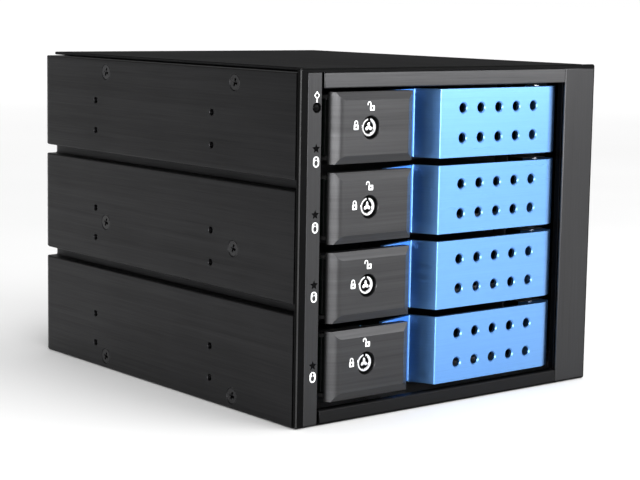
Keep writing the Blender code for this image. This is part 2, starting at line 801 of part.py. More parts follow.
def lock_solid():
    """The lock's turning core: a barrel with a sunken face and a keyway."""
    barrel = rod("depth", LOCK_RADIUS, (LOCK_LEFT, LOCK_FRONT, 0.0), (LOCK_LEFT, LOCK_BACK, 0.0))
    before = LOCK_FRONT - 1.0
    face_back = LOCK_FRONT + LOCK_FACE_DEPTH
    face = rod("depth", LOCK_FACE_RADIUS, (LOCK_LEFT, before, 0.0), (LOCK_LEFT, face_back, 0.0))
    width, bottom, top = KEYWAY
    keyway = block(
        (LOCK_LEFT - width / 2, LOCK_LEFT + width / 2), (before, LOCK_FRONT + KEYWAY_DEPTH), (bottom, top)
    )
    return cut(barrel, face, keyway)


def pin_solid(pivot, radius, half):
    return rod("height", radius, (*pivot, -half), (*pivot, half), SMALL_ROUND)


def build_trays():
    """Four equal trays. Each moving piece has its origin on its own joint's axis."""
    tray_origin = place(WIDTH / 2, TRAY_FRONT, 0.0)
    hinge_origin = place(*PIVOT, 0.0)
    latch_origin = place(*LATCH_PIVOT, 0.0)
    lock_origin = place(LOCK_LEFT, LOCK_FRONT, 0.0)
    tray_mesh = bake(tray_solid(), tray_origin)
    handle_mesh = bake(handle_solid(), hinge_origin)
    hinge_pin_mesh = bake(pin_solid(PIVOT, PIVOT_RADIUS, LUG_TOP - 0.05), hinge_origin)
    latch_mesh = bake(latch_solid(), latch_origin)
    latch_pin_mesh = bake(pin_solid(LATCH_PIVOT, LATCH_PIN_RADIUS, POCKET_HALF - 0.05), latch_origin)
    lock_mesh = bake(lock_solid(), lock_origin)
    for index, middle in enumerate(tray_heights(), start=1):
        rise = Vector((0.0, 0.0, middle * MM))
        tray = add_part(f"tray_{index}", tray_mesh, STEEL, tray_origin + rise)
        add_part(f"hinge_pin_{index}", hinge_pin_mesh, STEEL, hinge_origin + rise, tray)
        handle = add_part(f"handle_{index}", handle_mesh, BLUE_ALUMINIUM, hinge_origin + rise, tray)
        add_part(f"latch_pin_{index}", latch_pin_mesh, STEEL, latch_origin + rise, handle)
        latch = add_part(f"latch_{index}", latch_mesh, GREY_ALUMINIUM, latch_origin + rise, handle)
        add_part(f"lock_core_{index}", lock_mesh, CHROME, lock_origin + rise, latch)


# ---------------------------------------------------------------------------------------------- rear


def data_port_box(height, margin):
    left, wide, tall, reach = DATA_PORT
    front = BOARD_FRONT + BOARD_THICKNESS + GAP
    return block(
        (left - margin, left + wide + margin),
        (front, front + reach),
        (height - tall / 2 - margin, height + tall / 2 + margin),
    )


def power_port_box(height, margin):
    wide, tall, reach = POWER_PORT_SIZE
    front = BOARD_FRONT + BOARD_THICKNESS + GAP
    return block(
        (POWER_PORT_LEFT - margin, POWER_PORT_LEFT + wide + margin),
        (front, front + reach),
        (height - tall / 2 - margin, height + tall / 2 + margin),
    )


def build_backplane():
    board_rear = BOARD_FRONT + BOARD_THICKNESS
    board = block(BOARD_SIDES, (BOARD_FRONT, board_rear), BOARD_HEIGHTS)
    for middle in tray_heights():
        for left, (bottom, top) in BOARD_WINDOWS:
            cut(board, block(left, (BOARD_FRONT - 1.0, board_rear + 1.0), (middle + bottom, middle + top)))
    add_fixed("backplane_board", board, CIRCUIT)

    wide, reach, tall = SOCKET_SIZE
    socket_front = BOARD_FRONT - GAP - reach
    for index, middle in enumerate(tray_heights(), start=1):
        low = middle - SOCKET_DROP - tall / 2
        sides = (SOCKET_LEFT, SOCKET_LEFT + wide)
        socket = block(sides, (socket_front, BOARD_FRONT - GAP), (low, low + tall))
        slot_heights = (low + SOCKET_SLOT_HEIGHTS[0], low + SOCKET_SLOT_HEIGHTS[1])
        slot_depths = (socket_front - 1.0, socket_front + SOCKET_SLOT_DEPTH)
        for left, right in SOCKET_SLOTS:
            cut(socket, block((SOCKET_LEFT + left, SOCKET_LEFT + right), slot_depths, slot_heights))
        add_fixed(f"drive_socket_{index}", socket, BLACK_PLASTIC)

    for index, middle in enumerate(tray_heights(), start=1):
        left, wide, _, reach = DATA_PORT
        rear = board_rear + GAP + reach
        slot = block(
            (left + DATA_SLOT_SIDE, left + wide - DATA_SLOT_SIDE),
            (rear - DATA_SLOT_DEPTH, rear + 1.0),
            (middle - DATA_SLOT_HALF, middle + DATA_SLOT_HALF),
        )
        add_fixed(f"data_port_{index}", cut(data_port_box(middle, 0.0), slot), BLACK_PLASTIC)

    for index, height in enumerate(POWER_PORT_HEIGHTS, start=1):
        add_fixed(f"power_port_{index}", power_port_solid(height), BLACK_PLASTIC)


def power_port_solid(height):
    """A four-pin power header: an open housing with its pins standing on its base."""
    wall = POWER_PORT_WALL
    wide, tall, reach = POWER_PORT_SIZE
    front = BOARD_FRONT + BOARD_THICKNESS + GAP
    housing = power_port_box(height, 0.0)
    cavity = block(
        (POWER_PORT_LEFT + wall, POWER_PORT_LEFT + wide - wall),
        (front + 2.0, front + reach + 1.0),
        (height - tall / 2 + wall, height + tall / 2 - wall),
    )
    cut(housing, cavity)
    pin_depths = (front + 1.0, front + reach - 2.0)
    for place_in_row in (-1.5, -0.5, 0.5, 1.5):
        left = POWER_PORT_LEFT + wide / 2 + place_in_row * POWER_PIN_PITCH
        start, end = [(left, depth, height) for depth in pin_depths]
        joined(housing, rod("depth", POWER_PIN_RADIUS, start, end, SMALL_ROUND))
    return housing


def build_rear_panel():
    inset = SHEET + GAP
    panel = block((inset, WIDTH - inset), REAR_PANEL, (PLATE_RAISE, SIDE_TOP - SHEET - GAP))
    for bottom, top in GROOVES:
        for left in ((0.0, GROOVE_DEPTH + SHEET + GAP), (WIDTH - GROOVE_DEPTH - SHEET - GAP, WIDTH)):
            cut(panel, block(left, (REAR_PANEL[0] - 1, REAR_PANEL[1] + 1), (bottom - inset, top + inset)))
    for middle in tray_heights():
        cut(panel, data_port_box(middle, PORT_MARGIN))
    for height in POWER_PORT_HEIGHTS:
        cut(panel, power_port_box(height, PORT_MARGIN))
    cut(panel, fan_rod(FAN_THROAT, REAR_PANEL[0] - 1, REAR_PANEL[1] + 1, THROAT_ROUND))
    cut(panel, *fan_screw_holes(REAR_PANEL[0] - 1, REAR_PANEL[1] + 1))
    add_fixed("rear_panel", panel, BLACK_ALUMINIUM)


# ---------------------------------------------------------------------------------------------- fan


def fan_screw_holes(front, rear):
    across, up = FAN_CENTRE
    return [
        rod(
            "depth",
            FAN_SCREW_RADIUS,
            (across + x * FAN_SCREW_OFFSET, front, up + z * FAN_SCREW_OFFSET),
            (across + x * FAN_SCREW_OFFSET, rear, up + z * FAN_SCREW_OFFSET),
            SMALL_ROUND,
        )
        for x in (-1, 1)
        for z in (-1, 1)
    ]


def fan_outline():
    """A square with rounded corners, in (left, height)."""
    across, up = FAN_CENTRE
    corner = 4.0
    reach = FAN_SIZE / 2 - corner
    outline = []
    for quarter, (x, z) in enumerate(((1, 1), (-1, 1), (-1, -1), (1, -1))):
        centre = (across + x * reach, up + z * reach)
        outline += arc(centre, (corner, corner), 90.0 * quarter, 90.0 * quarter + 90.0, 3)
    return outline


def fan_rod(radius, front, rear, segments=ROUND):
    across, up = FAN_CENTRE
    return rod("depth", radius, (across, front, up), (across, rear, up), segments)


def turned_bar(length, width, front, rear, degrees):
    """A bar across the fan's centre, turned about the fan's axis."""
    across, up = FAN_CENTRE
    bar = block(
        (across - length / 2, across + length / 2), (front, rear), (up - width / 2, up + width / 2)
    )
    centre = place(across, 0.0, up)
    turn = Matrix.Rotation(math.radians(degrees), 4, "Y")
    bar.data.transform(Matrix.Translation(centre) @ turn @ Matrix.Translation(-centre))
    return bar


def build_fan_frame():
    rear = FAN_FRONT + FAN_DEPTH
    frame = section_solid([fan_outline()], FAN_FRONT, rear)
    cut(frame, fan_rod(FAN_THROAT, FAN_FRONT - 1, rear + 1, THROAT_ROUND))
    cut(frame, *fan_screw_holes(FAN_FRONT - 1, rear + 1))
    plate_front = rear - MOTOR_PLATE
    joined(frame, fan_rod(MOTOR_RADIUS, plate_front, rear))
    strut_angles = (45.0, 135.0)
    for degrees in strut_angles:
        joined(frame, turned_bar(2 * FAN_THROAT + 1.0, 4.0, plate_front + 0.1, rear - 0.1, degrees))
    add_fixed("fan_frame", frame, BLACK_PLASTIC)


def blade_solid(angle):
    """One cambered blade: an arc-shaped section, extruded outwards from the hub."""
    chord = arc((0.0, -18.0), (22.0, 22.0), 123.0, 57.0, 4)
    section = sheet_outline(chord, 1.2)
    turned = []
    pitch = math.radians(38.0)
    for across, along in section:
        turned.append(
            (
                across * math.cos(pitch) - along * math.sin(pitch),
                across * math.sin(pitch) + along * math.cos(pitch),
            )
        )
    radial = Vector((math.cos(angle), 0.0, math.sin(angle)))
    axial = Vector((0.0, 1.0, 0.0))
    tangential = axial.cross(radial)
    inner = HUB_RADIUS - 1.5
    outer = BLADE_RADIUS
    middle = place(FAN_CENTRE[0], sum(HUB_DEPTHS) / 2, FAN_CENTRE[1]) + radial * (inner + outer) / 2 * MM
    frame = Matrix((tangential, axial, radial)).transposed().to_4x4()
    frame.translation = middle
    return extruded([turned], outer - inner, frame)


def build_fan_rotor():
    hub = fan_rod(HUB_RADIUS, *HUB_DEPTHS)
    for index in range(BLADES):
        joined(hub, blade_solid(math.tau * index / BLADES))
    origin = place(FAN_CENTRE[0], sum(HUB_DEPTHS) / 2, FAN_CENTRE[1])
    add_part("fan_rotor", bake(hub, origin), BLACK_PLASTIC, origin)


def build_fan_guard():
    front = FAN_FRONT + FAN_DEPTH + GAP
    rear = REAR_DEPTH
    guard = fan_rod(GUARD_RINGS[0] / 2, front, rear)
    for degrees in (45.0, 135.0):
        length = 2 * math.hypot(FAN_SCREW_OFFSET, FAN_SCREW_OFFSET)
        joined(guard, turned_bar(length, 3.0, front + 0.1, rear - 0.1, degrees))
    for radius in GUARD_RINGS:
        edges = (radius + GUARD_WIRE / 2, radius - GUARD_WIRE / 2)
        loops = [arc(FAN_CENTRE, (edge, edge), 0.0, 360.0, ROUND)[:-1] for edge in edges]
        joined(guard, section_solid(loops, front + 0.2, rear - 0.2))
    across, up = FAN_CENTRE
    for x in (-1, 1):
        for z in (-1, 1):
            spot = (across + x * FAN_SCREW_OFFSET, up + z * FAN_SCREW_OFFSET)
            ear = rod("depth", 4.0, (spot[0], front, spot[1]), (spot[0], rear, spot[1]), SMALL_ROUND)
            joined(guard, ear)
    cut(guard, *fan_screw_holes(front - 1, rear + 1))
    add_fixed("fan_guard", guard, CHROME)


def main():
    build_shell()
    build_bezel()
    build_indicators()
    build_guides()
    build_trays()
    build_backplane()
    build_rear_panel()
    build_fan_frame()
    build_fan_rotor()
    build_fan_guard()


main()
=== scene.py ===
"""Looks of the hot-swap drive cage: detailed pieces, materials, a plain studio and the camera.

Sizes are in millimetres, measured as in the part's own source: "left" from the left outer face, "depth" from
the bezel's back plane and "height" from the base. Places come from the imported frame's boxes and joints.
"""

import json
from math import cos, hypot, pi, radians, sin, sqrt, tan, tau

import bmesh
import bpy
from mathutils import Matrix, Vector


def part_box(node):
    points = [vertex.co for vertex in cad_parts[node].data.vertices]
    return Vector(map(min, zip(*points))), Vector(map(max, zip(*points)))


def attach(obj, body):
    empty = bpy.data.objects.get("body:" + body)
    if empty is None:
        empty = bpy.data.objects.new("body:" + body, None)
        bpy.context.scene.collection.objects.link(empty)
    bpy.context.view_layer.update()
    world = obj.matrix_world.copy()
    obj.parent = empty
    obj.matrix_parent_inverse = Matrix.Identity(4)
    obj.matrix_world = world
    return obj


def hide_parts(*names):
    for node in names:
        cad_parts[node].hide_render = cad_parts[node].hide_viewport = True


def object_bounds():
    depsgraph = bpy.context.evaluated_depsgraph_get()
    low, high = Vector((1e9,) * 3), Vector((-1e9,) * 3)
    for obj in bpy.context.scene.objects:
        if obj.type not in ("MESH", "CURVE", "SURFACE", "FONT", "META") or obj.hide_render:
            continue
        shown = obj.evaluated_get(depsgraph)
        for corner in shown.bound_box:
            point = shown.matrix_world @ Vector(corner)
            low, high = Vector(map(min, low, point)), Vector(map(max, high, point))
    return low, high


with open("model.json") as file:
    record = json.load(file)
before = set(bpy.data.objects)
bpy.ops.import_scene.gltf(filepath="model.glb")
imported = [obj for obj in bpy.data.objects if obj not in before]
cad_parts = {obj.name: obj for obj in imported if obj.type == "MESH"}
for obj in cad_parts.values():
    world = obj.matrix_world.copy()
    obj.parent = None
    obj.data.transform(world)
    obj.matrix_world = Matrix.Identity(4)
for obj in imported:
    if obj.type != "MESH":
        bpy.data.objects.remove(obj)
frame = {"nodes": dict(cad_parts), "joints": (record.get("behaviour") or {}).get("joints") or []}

CAD_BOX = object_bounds()
MM = 0.001
LEFT_FACE = CAD_BOX[0].x
BEZEL_BACK = -0.4
DEPTH_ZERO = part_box("bezel_frame")[1].y - BEZEL_BACK * MM
TRAYS = range(1, 5)
GENTLE = radians(30)


def place(left, depth, height):
    """A point in the row frame, in metres."""
    return Vector((LEFT_FACE + left * MM, DEPTH_ZERO + depth * MM, height * MM))


def measure(point):
    """(left, depth, height) of a point in the row frame."""
    return (point[0] - LEFT_FACE) / MM, (point[1] - DEPTH_ZERO) / MM, point[2] / MM


def limits(node):
    """A CAD node's lowest and highest corner as (left, depth, height)."""
    return [measure(corner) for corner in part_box(node)]


def joint_centre(name):
    return next(measure(joint["pos_m"]) for joint in frame["joints"] if joint["name"] == name)


WIDTH = limits("right_side_panel")[1][0]


# ---- materials

# Features per metre: of noise even in all directions, and of grain (along, across) the brushing
METAL_CLOUDS = 22.0
PLASTIC_CLOUDS = 60.0
FINE_GRAIN = (45.0, 4200.0)
STREAK_GRAIN = (7.0, 620.0)
SCRATCHES = (60.0, 2300.0)
# The spans over which noise goes from one tone to the other, and a bent normal from no edge lightening to
# full: partly rubbing from handling, partly a painted edge highlight
GRAIN_SPAN = (0.36, 0.64)
WEAR_AND_HIGHLIGHT_SPAN = (0.99, 0.80)
WEAR_AND_HIGHLIGHT_WIDTH = 0.35
GLOSS_CHANGE = 0.06


def add_node(tree, kind, inputs=None, **settings):
    """A shader node with its settings, and with each input set to a value or linked to a socket."""
    made = tree.nodes.new("ShaderNode" + kind)
    for key, value in settings.items():
        setattr(made, key, value)
    for key, value in (inputs or {}).items():
        if isinstance(value, bpy.types.NodeSocket):
            tree.links.new(value, made.inputs[key])
        else:
            made.inputs[key].default_value = value
    return made


def noise(tree, scales, detail=3.0, roughness=0.6):
    """Noise in the piece's own coordinates, with a number of features per metre along X, Y and Z."""
    coordinates = add_node(tree, "TexCoord").outputs["Object"]
    mapped = add_node(tree, "Mapping", {"Vector": coordinates, "Scale": scales}).outputs["Vector"]
    values = {"Vector": mapped, "Scale": 1.0, "Detail": detail, "Roughness": roughness}
    return add_node(tree, "TexNoise", values).outputs["Fac"]


def cloud_noise(tree, scale, detail=2.0):
    return noise(tree, (scale, scale, scale), detail)


def brush_noise(tree, across_axis, along, across):
    """Noise that is fine along one axis and drawn out along the others, as a brushing belt leaves it."""
    scales = [along] * 3
    scales["XYZ".index(across_axis)] = across
    return noise(tree, scales)


def spread(tree, value, low, high, to_low, to_high):
    """Value moved from one range to another, and held inside it."""
    values = {"Value": value, "From Min": low, "From Max": high, "To Min": to_low, "To Max": to_high}
    return add_node(tree, "MapRange", values).outputs["Result"]


def weighted(tree, terms):
    """The sum of (socket, weight) terms."""
    total = None
    for socket, weight in terms:
        term = add_node(tree, "Math", {0: socket, 1: weight}, operation="MULTIPLY").outputs[0]
        if total is None:
            total = term
        else:
            total = add_node(tree, "Math", {0: total, 1: term}, operation="ADD").outputs[0]
    return total


def blend_colours(tree, share, low, high):
    """Two colours mixed by a share. Each is a socket or its red, green and blue."""
    low, high = ((*value, 1.0) if isinstance(value, tuple) else value for value in (low, high))
    return add_node(tree, "Mix", {0: share, 6: low, 7: high}, data_type="RGBA").outputs[2]


def scaled(colour, factor):
    return tuple(min(1.0, channel * factor) for channel in colour)


def surface(name, metallic, sockets=()):
    """A new material and its Principled shader, with its constant sockets set."""
    material = bpy.data.materials.new(name)
    material.use_nodes = True
    shader = material.node_tree.nodes["Principled BSDF"]
    shader.inputs["Metallic"].default_value = metallic
    for key, value in sockets:
        shader.inputs[key].default_value = value
    return material, material.node_tree, shader


def finish_surface(tree, shader, colour, gloss, height, strength, relief):
    """Link a colour, a roughness and a bump of so many millimetres to the shader."""
    bump = add_node(tree, "Bump", {"Height": height, "Strength": strength, "Distance": relief * MM})
    for key, socket in (("Base Color", colour), ("Roughness", gloss), ("Normal", bump.outputs["Normal"])):
        tree.links.new(socket, shader.inputs[key])


def wear_and_edge_highlight(tree, colour, amount, light):
    """The colour, lightened close to the piece's edges: partly rubbing from handling, partly a painted
    highlight along the edges.
    """
    bent = add_node(tree, "Bevel", {"Radius": WEAR_AND_HIGHLIGHT_WIDTH * MM}, samples=4).outputs["Normal"]
    flat = add_node(tree, "NewGeometry").outputs["Normal"]
    alike = add_node(tree, "VectorMath", {0: bent, 1: flat}, operation="DOT_PRODUCT").outputs["Value"]
    return blend_colours(tree, spread(tree, alike, *WEAR_AND_HIGHLIGHT_SPAN, 0.0, amount), colour, light)


def brushed(name, colour, roughness, axes, contrast=0.25, streaks=0.5, wear_and_highlight=0.35, coat=0.0, edge_tint=1.0):
    """Anodised aluminium, brushed along the first of two axes and fine across the second."""
    constants = [("Anisotropic", 0.5), ("Anisotropic Rotation", 0.25), ("Coat Weight", coat)]
    constants += [("Coat Roughness", 0.25), ("Specular Tint", (edge_tint, edge_tint, edge_tint, 1.0))]
    material, tree, shader = surface(name, 1.0, constants)
    along = [1.0 if letter == axes[0] else 0.0 for letter in "XYZ"]
    kinds = {"vector_type": "VECTOR", "convert_from": "OBJECT", "convert_to": "WORLD"}
    grain = add_node(tree, "VectorTransform", {"Vector": along}, **kinds)
    tree.links.new(grain.outputs["Vector"], shader.inputs["Tangent"])
    fine = brush_noise(tree, axes[1], *FINE_GRAIN)
    streak = brush_noise(tree, axes[1], *STREAK_GRAIN)
    tone_terms = [(fine, 0.8 - streaks / 2), (streak, streaks / 2), (cloud_noise(tree, METAL_CLOUDS), 0.2)]
    tone = weighted(tree, tone_terms)
    share = spread(tree, tone, *GRAIN_SPAN, 0.0, 1.0)
    grained = blend_colours(tree, share, scaled(colour, 1 - contrast), scaled(colour, 1 + contrast))
    # Edges lightened: partly rubbing from handling, partly a painted highlight along the edges
    edge_lightened = wear_and_edge_highlight(tree, grained, wear_and_highlight, scaled(colour, 2.2))
    gloss = spread(tree, tone, *GRAIN_SPAN, roughness + GLOSS_CHANGE, roughness - GLOSS_CHANGE)
    relief = weighted(tree, [(fine, 0.35), (streak, 0.65)])
    finish_surface(tree, shader, edge_lightened, gloss, relief, 0.6, 0.012)
    return material


def moulded(name, colour, roughness, grain=2600.0, relief=0.02, specular=0.45, worn_and_highlit=2.5):
    """Moulded plastic or paint: a fine even grain and a slight change of gloss."""
    material, tree, shader = surface(name, 0.0, [("Specular IOR Level", specular)])
    cloud = cloud_noise(tree, PLASTIC_CLOUDS)
    share = spread(tree, cloud, 0.35, 0.65, 0.0, 1.0)
    toned = blend_colours(tree, share, scaled(colour, 0.85), scaled(colour, 1.15))
    # Edges lightened: partly rubbing from handling, partly a painted highlight along the edges
    edge_lightened = wear_and_edge_highlight(tree, toned, 0.3, scaled(colour, worn_and_highlit))
    gloss = spread(tree, cloud, 0.3, 0.7, roughness - GLOSS_CHANGE, roughness + GLOSS_CHANGE)
    finish_surface(tree, shader, edge_lightened, gloss, cloud_noise(tree, grain), 0.5, relief)
    return material


def plated(name, colour, roughness, tint=(0.8, 0.78, 0.7)):
    """Plated or polished metal: soft clouds of tint and faint scratches in every direction."""
    material, tree, shader = surface(name, 1.0)
    scratch = weighted(tree, [(brush_noise(tree, axis, *SCRATCHES), 0.34) for axis in "XYZ"])
    tinted = tuple(channel * shade for channel, shade in zip(colour, tint))
    share = spread(tree, cloud_noise(tree, 45.0, 4.0), 0.4, 0.7, 0.0, 0.6)
    gloss = spread(tree, scratch, 0.4, 0.6, roughness * 0.75, roughness * 1.25)
    finish_surface(tree, shader, blend_colours(tree, share, colour, tinted), gloss, scratch, 0.3, 0.006)
    return material


def circuit(name, colour):
    """A circuit board: solder mask over a pattern of copper tracks."""
    material, tree, shader = surface(name, 0.0)
    coordinates = add_node(tree, "TexCoord").outputs["Object"]
    turn = {"Vector": coordinates, "Rotation": (pi / 2, 0.0, 0.0)}
    values = {"Vector": add_node(tree, "Mapping", turn).outputs[0], "Scale": 260.0, "Mortar Size": 0.02}
    values.update({"Color1": (0, 0, 0, 1), "Color2": (0.35, 0.35, 0.35, 1), "Mortar": (1, 1, 1, 1)})
    tracks = add_node(tree, "TexBrick", values).outputs["Fac"]
    mask = cloud_noise(tree, 120.0, 3.0)
    share = spread(tree, weighted(tree, [(tracks, 0.6), (mask, 0.4)]), 0.1, 0.9, 0.0, 1.0)
    gloss = spread(tree, mask, 0.3, 0.7, 0.3, 0.45)
    toned = blend_colours(tree, share, colour, scaled(colour, 2.2))
    finish_surface(tree, shader, toned, gloss, tracks, 0.4, 0.02)
    return material


BLACK = (0.026, 0.026, 0.0273)
GREY = (0.046, 0.046, 0.0475)
BLUE = (0.119, 0.300, 0.64)
PANEL = brushed("black_anodised_panel", BLACK, 0.42, "YZ", contrast=0.22, streaks=0.8, wear_and_highlight=0.25)
COVER = brushed("dark_grey_cover", (0.021, 0.021, 0.022), 0.5, "YX", contrast=0.3, edge_tint=0.46)
# The trims are copies of one grey: the top bar's copy is painted lighter (painted light) and the bottom bar's
# much darker (painted shade)
TRIM_ACROSS_LIT = brushed("grey_trim_across_lit", scaled(GREY, 1.25), 0.4, "XZ", contrast=0.15)
TRIM_LOWER_SHADED = brushed("grey_trim_lower_shaded", scaled(GREY, 0.31), 0.42, "XZ", contrast=0.15)
TRIM_UPRIGHT = brushed("grey_trim_upright", scaled(GREY, 0.9), 0.42, "ZX", contrast=0.12)
LATCH_METAL = brushed("grey_anodised_latch", GREY, 0.36, "XZ", contrast=0.22, streaks=1.1, wear_and_highlight=0.1)
HANDLE_METAL = brushed("blue_anodised_handle", BLUE, 0.33, "XZ", 0.07, streaks=0.7, wear_and_highlight=0.25, coat=0.5)
# The bezel's edges are lightened thirty-fold: a painted highlight along its edges
BEZEL_PLASTIC = moulded("black_bezel_plastic", (0.0012, 0.0012, 0.0013), 0.42, specular=0.035, worn_and_highlit=30.0)
# A lit copy of the bezel plastic for its rounded front-left edge: a painted highlight line
BEZEL_CORNER_HIGHLIGHT = moulded("bezel_corner_painted_highlight", (0.012, 0.012, 0.0125), 0.4, specular=0.22)
DARK_PLASTIC = moulded("black_moulded_plastic", (0.016, 0.016, 0.017), 0.5)
STICKER = moulded("plain_grey_sticker", (0.30, 0.31, 0.32), 0.35, grain=900.0, relief=0.004)
PRINT = moulded("white_printed_ink", (0.80, 0.81, 0.82), 0.5, relief=0.002)
LENS = moulded("dark_tinted_lens", (0.0005, 0.0005, 0.0006), 0.2, relief=0.001, specular=0.04, worn_and_highlit=1.0)
# Near-black for recesses that lie in shade: painted shade
RECESS_SHADE = moulded("painted_recess_shade", (0.004, 0.004, 0.004), 0.6, specular=0.1)
CHIP = moulded("grey_black_package", (0.022, 0.022, 0.024), 0.38, relief=0.008)
WIRE_RED = moulded("red_wire_sleeve", (0.45, 0.02, 0.015), 0.4, relief=0.004)
WIRE_BLACK = moulded("black_wire_sleeve", (0.012, 0.012, 0.012), 0.4, relief=0.004)
ZINC = plated("zinc_plated_steel", (0.56, 0.57, 0.59), 0.34)
DARK_STEEL = plated("dark_passivated_steel", (0.075, 0.075, 0.08), 0.42)
CHROME = plated("polished_chrome", (0.86, 0.86, 0.87), 0.14, tint=(0.94, 0.94, 0.94))
BLACK_SCREW = plated("black_zinc_screw", (0.042, 0.042, 0.044), 0.24)
GOLD = plated("gold_contact", (0.95, 0.66, 0.28), 0.22)
BOARD = circuit("green_circuit_board", (0.012, 0.085, 0.035))


# ---- mesh tools


def editable(mesh):
    cage = bmesh.new()
    cage.from_mesh(mesh)
    return cage


def mesh_from(cage):
    mesh = bpy.data.meshes.new("shape")
    cage.to_mesh(mesh)
    cage.free()
    return mesh


def block(left, depth, height):
    """A box between two values of left, two of depth and two of height."""
    low = place(left[0], depth[0], height[0])
    high = place(left[1], depth[1], height[1])
    cage = bmesh.new()
    bmesh.ops.create_cube(cage, size=1.0)
    bmesh.ops.scale(cage, vec=high - low, verts=cage.verts)
    bmesh.ops.translate(cage, vec=(low + high) / 2, verts=cage.verts)
    return mesh_from(cage)


def arc(centre, radius, start_degrees, end_degrees, steps):
    """Points along an arc, both ends included."""
    points = []
    for step in range(steps + 1):
        angle = radians(start_degrees + (end_degrees - start_degrees) * step / steps)
        points.append((centre[0] + radius * cos(angle), centre[1] + radius * sin(angle)))
    return points


def circle(centre, radius, steps=32):
    return arc(centre, radius, 0.0, 360.0, steps)[:-1]


def offset_path(path, distance):
    """The path moved to its right-hand side by a distance, with mitred corners."""
    moved = []
    for index, here in enumerate(path):
        normals = []
        for start, end in ((index - 1, index), (index, index + 1)):
            if start >= 0 and end < len(path):
                along = (Vector(path[end]) - Vector(path[start])).normalized()
                normals.append(Vector((along.y, -along.x)))
        mitre = sum(normals, Vector((0.0, 0.0))).normalized()
        moved.append(tuple(Vector(here) + mitre * distance / mitre.dot(normals[0])))
    return moved


def rounded(path, radius, closed=False, steps=5):
    """The path with each inner corner replaced by a tangent arc, where the two sides are long enough."""
    count = len(path)
    points = []
    for index, here in enumerate(path):
        if not closed and index in (0, count - 1):
            points.append(tuple(here))
            continue
        here = Vector(here)
        to_last = Vector(path[index - 1]) - here
        to_next = Vector(path[(index + 1) % count]) - here
        half = to_last.angle(to_next) / 2
        reach = min(radius / tan(half), to_last.length * 0.49, to_next.length * 0.49)
        fitted = reach * tan(half)
        inward = (to_last.normalized() + to_next.normalized()).normalized()
        centre = here + inward * hypot(fitted, reach)
        start = here + to_last.normalized() * reach - centre
        end = here + to_next.normalized() * reach - centre
        turn = start.angle_signed(end)
        for step in range(steps + 1):
            ray = start.copy()
            ray.rotate(Matrix.Rotation(-turn * step / steps, 2))
            points.append(tuple(centre + ray))
    return points


def add_line(curve, points, closed):
    spline = curve.splines.new("POLY")
    spline.points.add(len(points) - 1)
    for control, point in zip(spline.points, points):
        control.co = (*point, 1.0)
    spline.use_cyclic_u = closed


def extruded(loops, thickness, matrix):
    """Flat loops in the matrix's XY plane, extruded half the thickness each way. Inner loops are holes."""
    curve = bpy.data.curves.new("outline", "CURVE")
    curve.dimensions = "2D"
    curve.fill_mode = "BOTH"
    curve.extrude = thickness * MM / 2
    for loop in loops:
        add_line(curve, [(across * MM, along * MM, 0.0) for across, along in loop], True)
    mesh = solved(bpy.data.objects.new("outline", curve))
    mesh.transform(matrix)
    return mesh


def solved(thing):
    """The evaluated mesh of an object that is only built to be read, welded and closed."""
    bpy.context.scene.collection.objects.link(thing)
    bpy.context.view_layer.update()
    evaluated = thing.evaluated_get(bpy.context.evaluated_depsgraph_get())
    mesh = bpy.data.meshes.new_from_object(evaluated)
    bpy.data.objects.remove(thing)
    cage = editable(mesh)
    bmesh.ops.remove_doubles(cage, verts=cage.verts, dist=1e-6)
    bmesh.ops.recalc_face_normals(cage, faces=cage.faces)
    cage.to_mesh(mesh)
    cage.free()
    return mesh


def section_solid(loops, front, rear):
    """Loops of (left, height) points, running between two depths."""
    stand = Matrix.Rotation(pi / 2, 4, "X")
    return extruded(loops, rear - front, Matrix.Translation(place(0, (front + rear) / 2, 0)) @ stand)


def plan_solid(outline, bottom, top):
    """An outline of (left, depth) points, standing between two heights."""
    return extruded([outline], top - bottom, Matrix.Translation(place(0, 0, (bottom + top) / 2)))


def profile_solid(outline, start, end):
    """An outline of (depth, height) points, running between two values of left."""
    stand = Matrix.Rotation(pi / 2, 4, "Z") @ Matrix.Rotation(pi / 2, 4, "X")
    return extruded([outline], end - start, Matrix.Translation(place((start + end) / 2, 0, 0)) @ stand)


ALONG = {
    "rear": Matrix.Rotation(pi / 2, 4, "X"),
    "left": Matrix.Rotation(pi / 2, 4, "Y"),
    "depth": Matrix.Rotation(-pi / 2, 4, "X"),
    "height": Matrix.Identity(4),
}


def turned(profile, spot, axis="depth", segments=40):
    """A turned solid: a profile of (radius, distance along the axis) pairs, from one end to the other."""
    cage = bmesh.new()
    rings = []
    for radius, reach in profile:
        if radius == 0:
            rings.append([cage.verts.new((0, 0, reach * MM))] * segments)
            continue
        ring = circle((0.0, 0.0), radius, segments)
        rings.append([cage.verts.new((x * MM, y * MM, reach * MM)) for x, y in ring])
    for near, far in zip(rings, rings[1:]):
        for index in range(segments):
            after = (index + 1) % segments
            corners = dict.fromkeys((near[index], near[after], far[after], far[index]))
            if len(corners) > 2:
                cage.faces.new(list(corners))
    bmesh.ops.recalc_face_normals(cage, faces=cage.faces)
    mesh = mesh_from(cage)
    mesh.transform(Matrix.Translation(place(*spot)) @ ALONG[axis])
    return mesh


def rod(radius, spot, length, axis="depth", segments=32, edge=0.0):
    """A round bar, with small chamfers at its ends if it has an edge."""
    profile = [(0, 0), (radius, 0), (radius, length), (0, length)]
    if edge:
        profile[1:3] = [(radius - edge, 0), (radius, edge), (radius, length - edge), (radius - edge, length)]
    return turned(profile, spot, axis, segments)


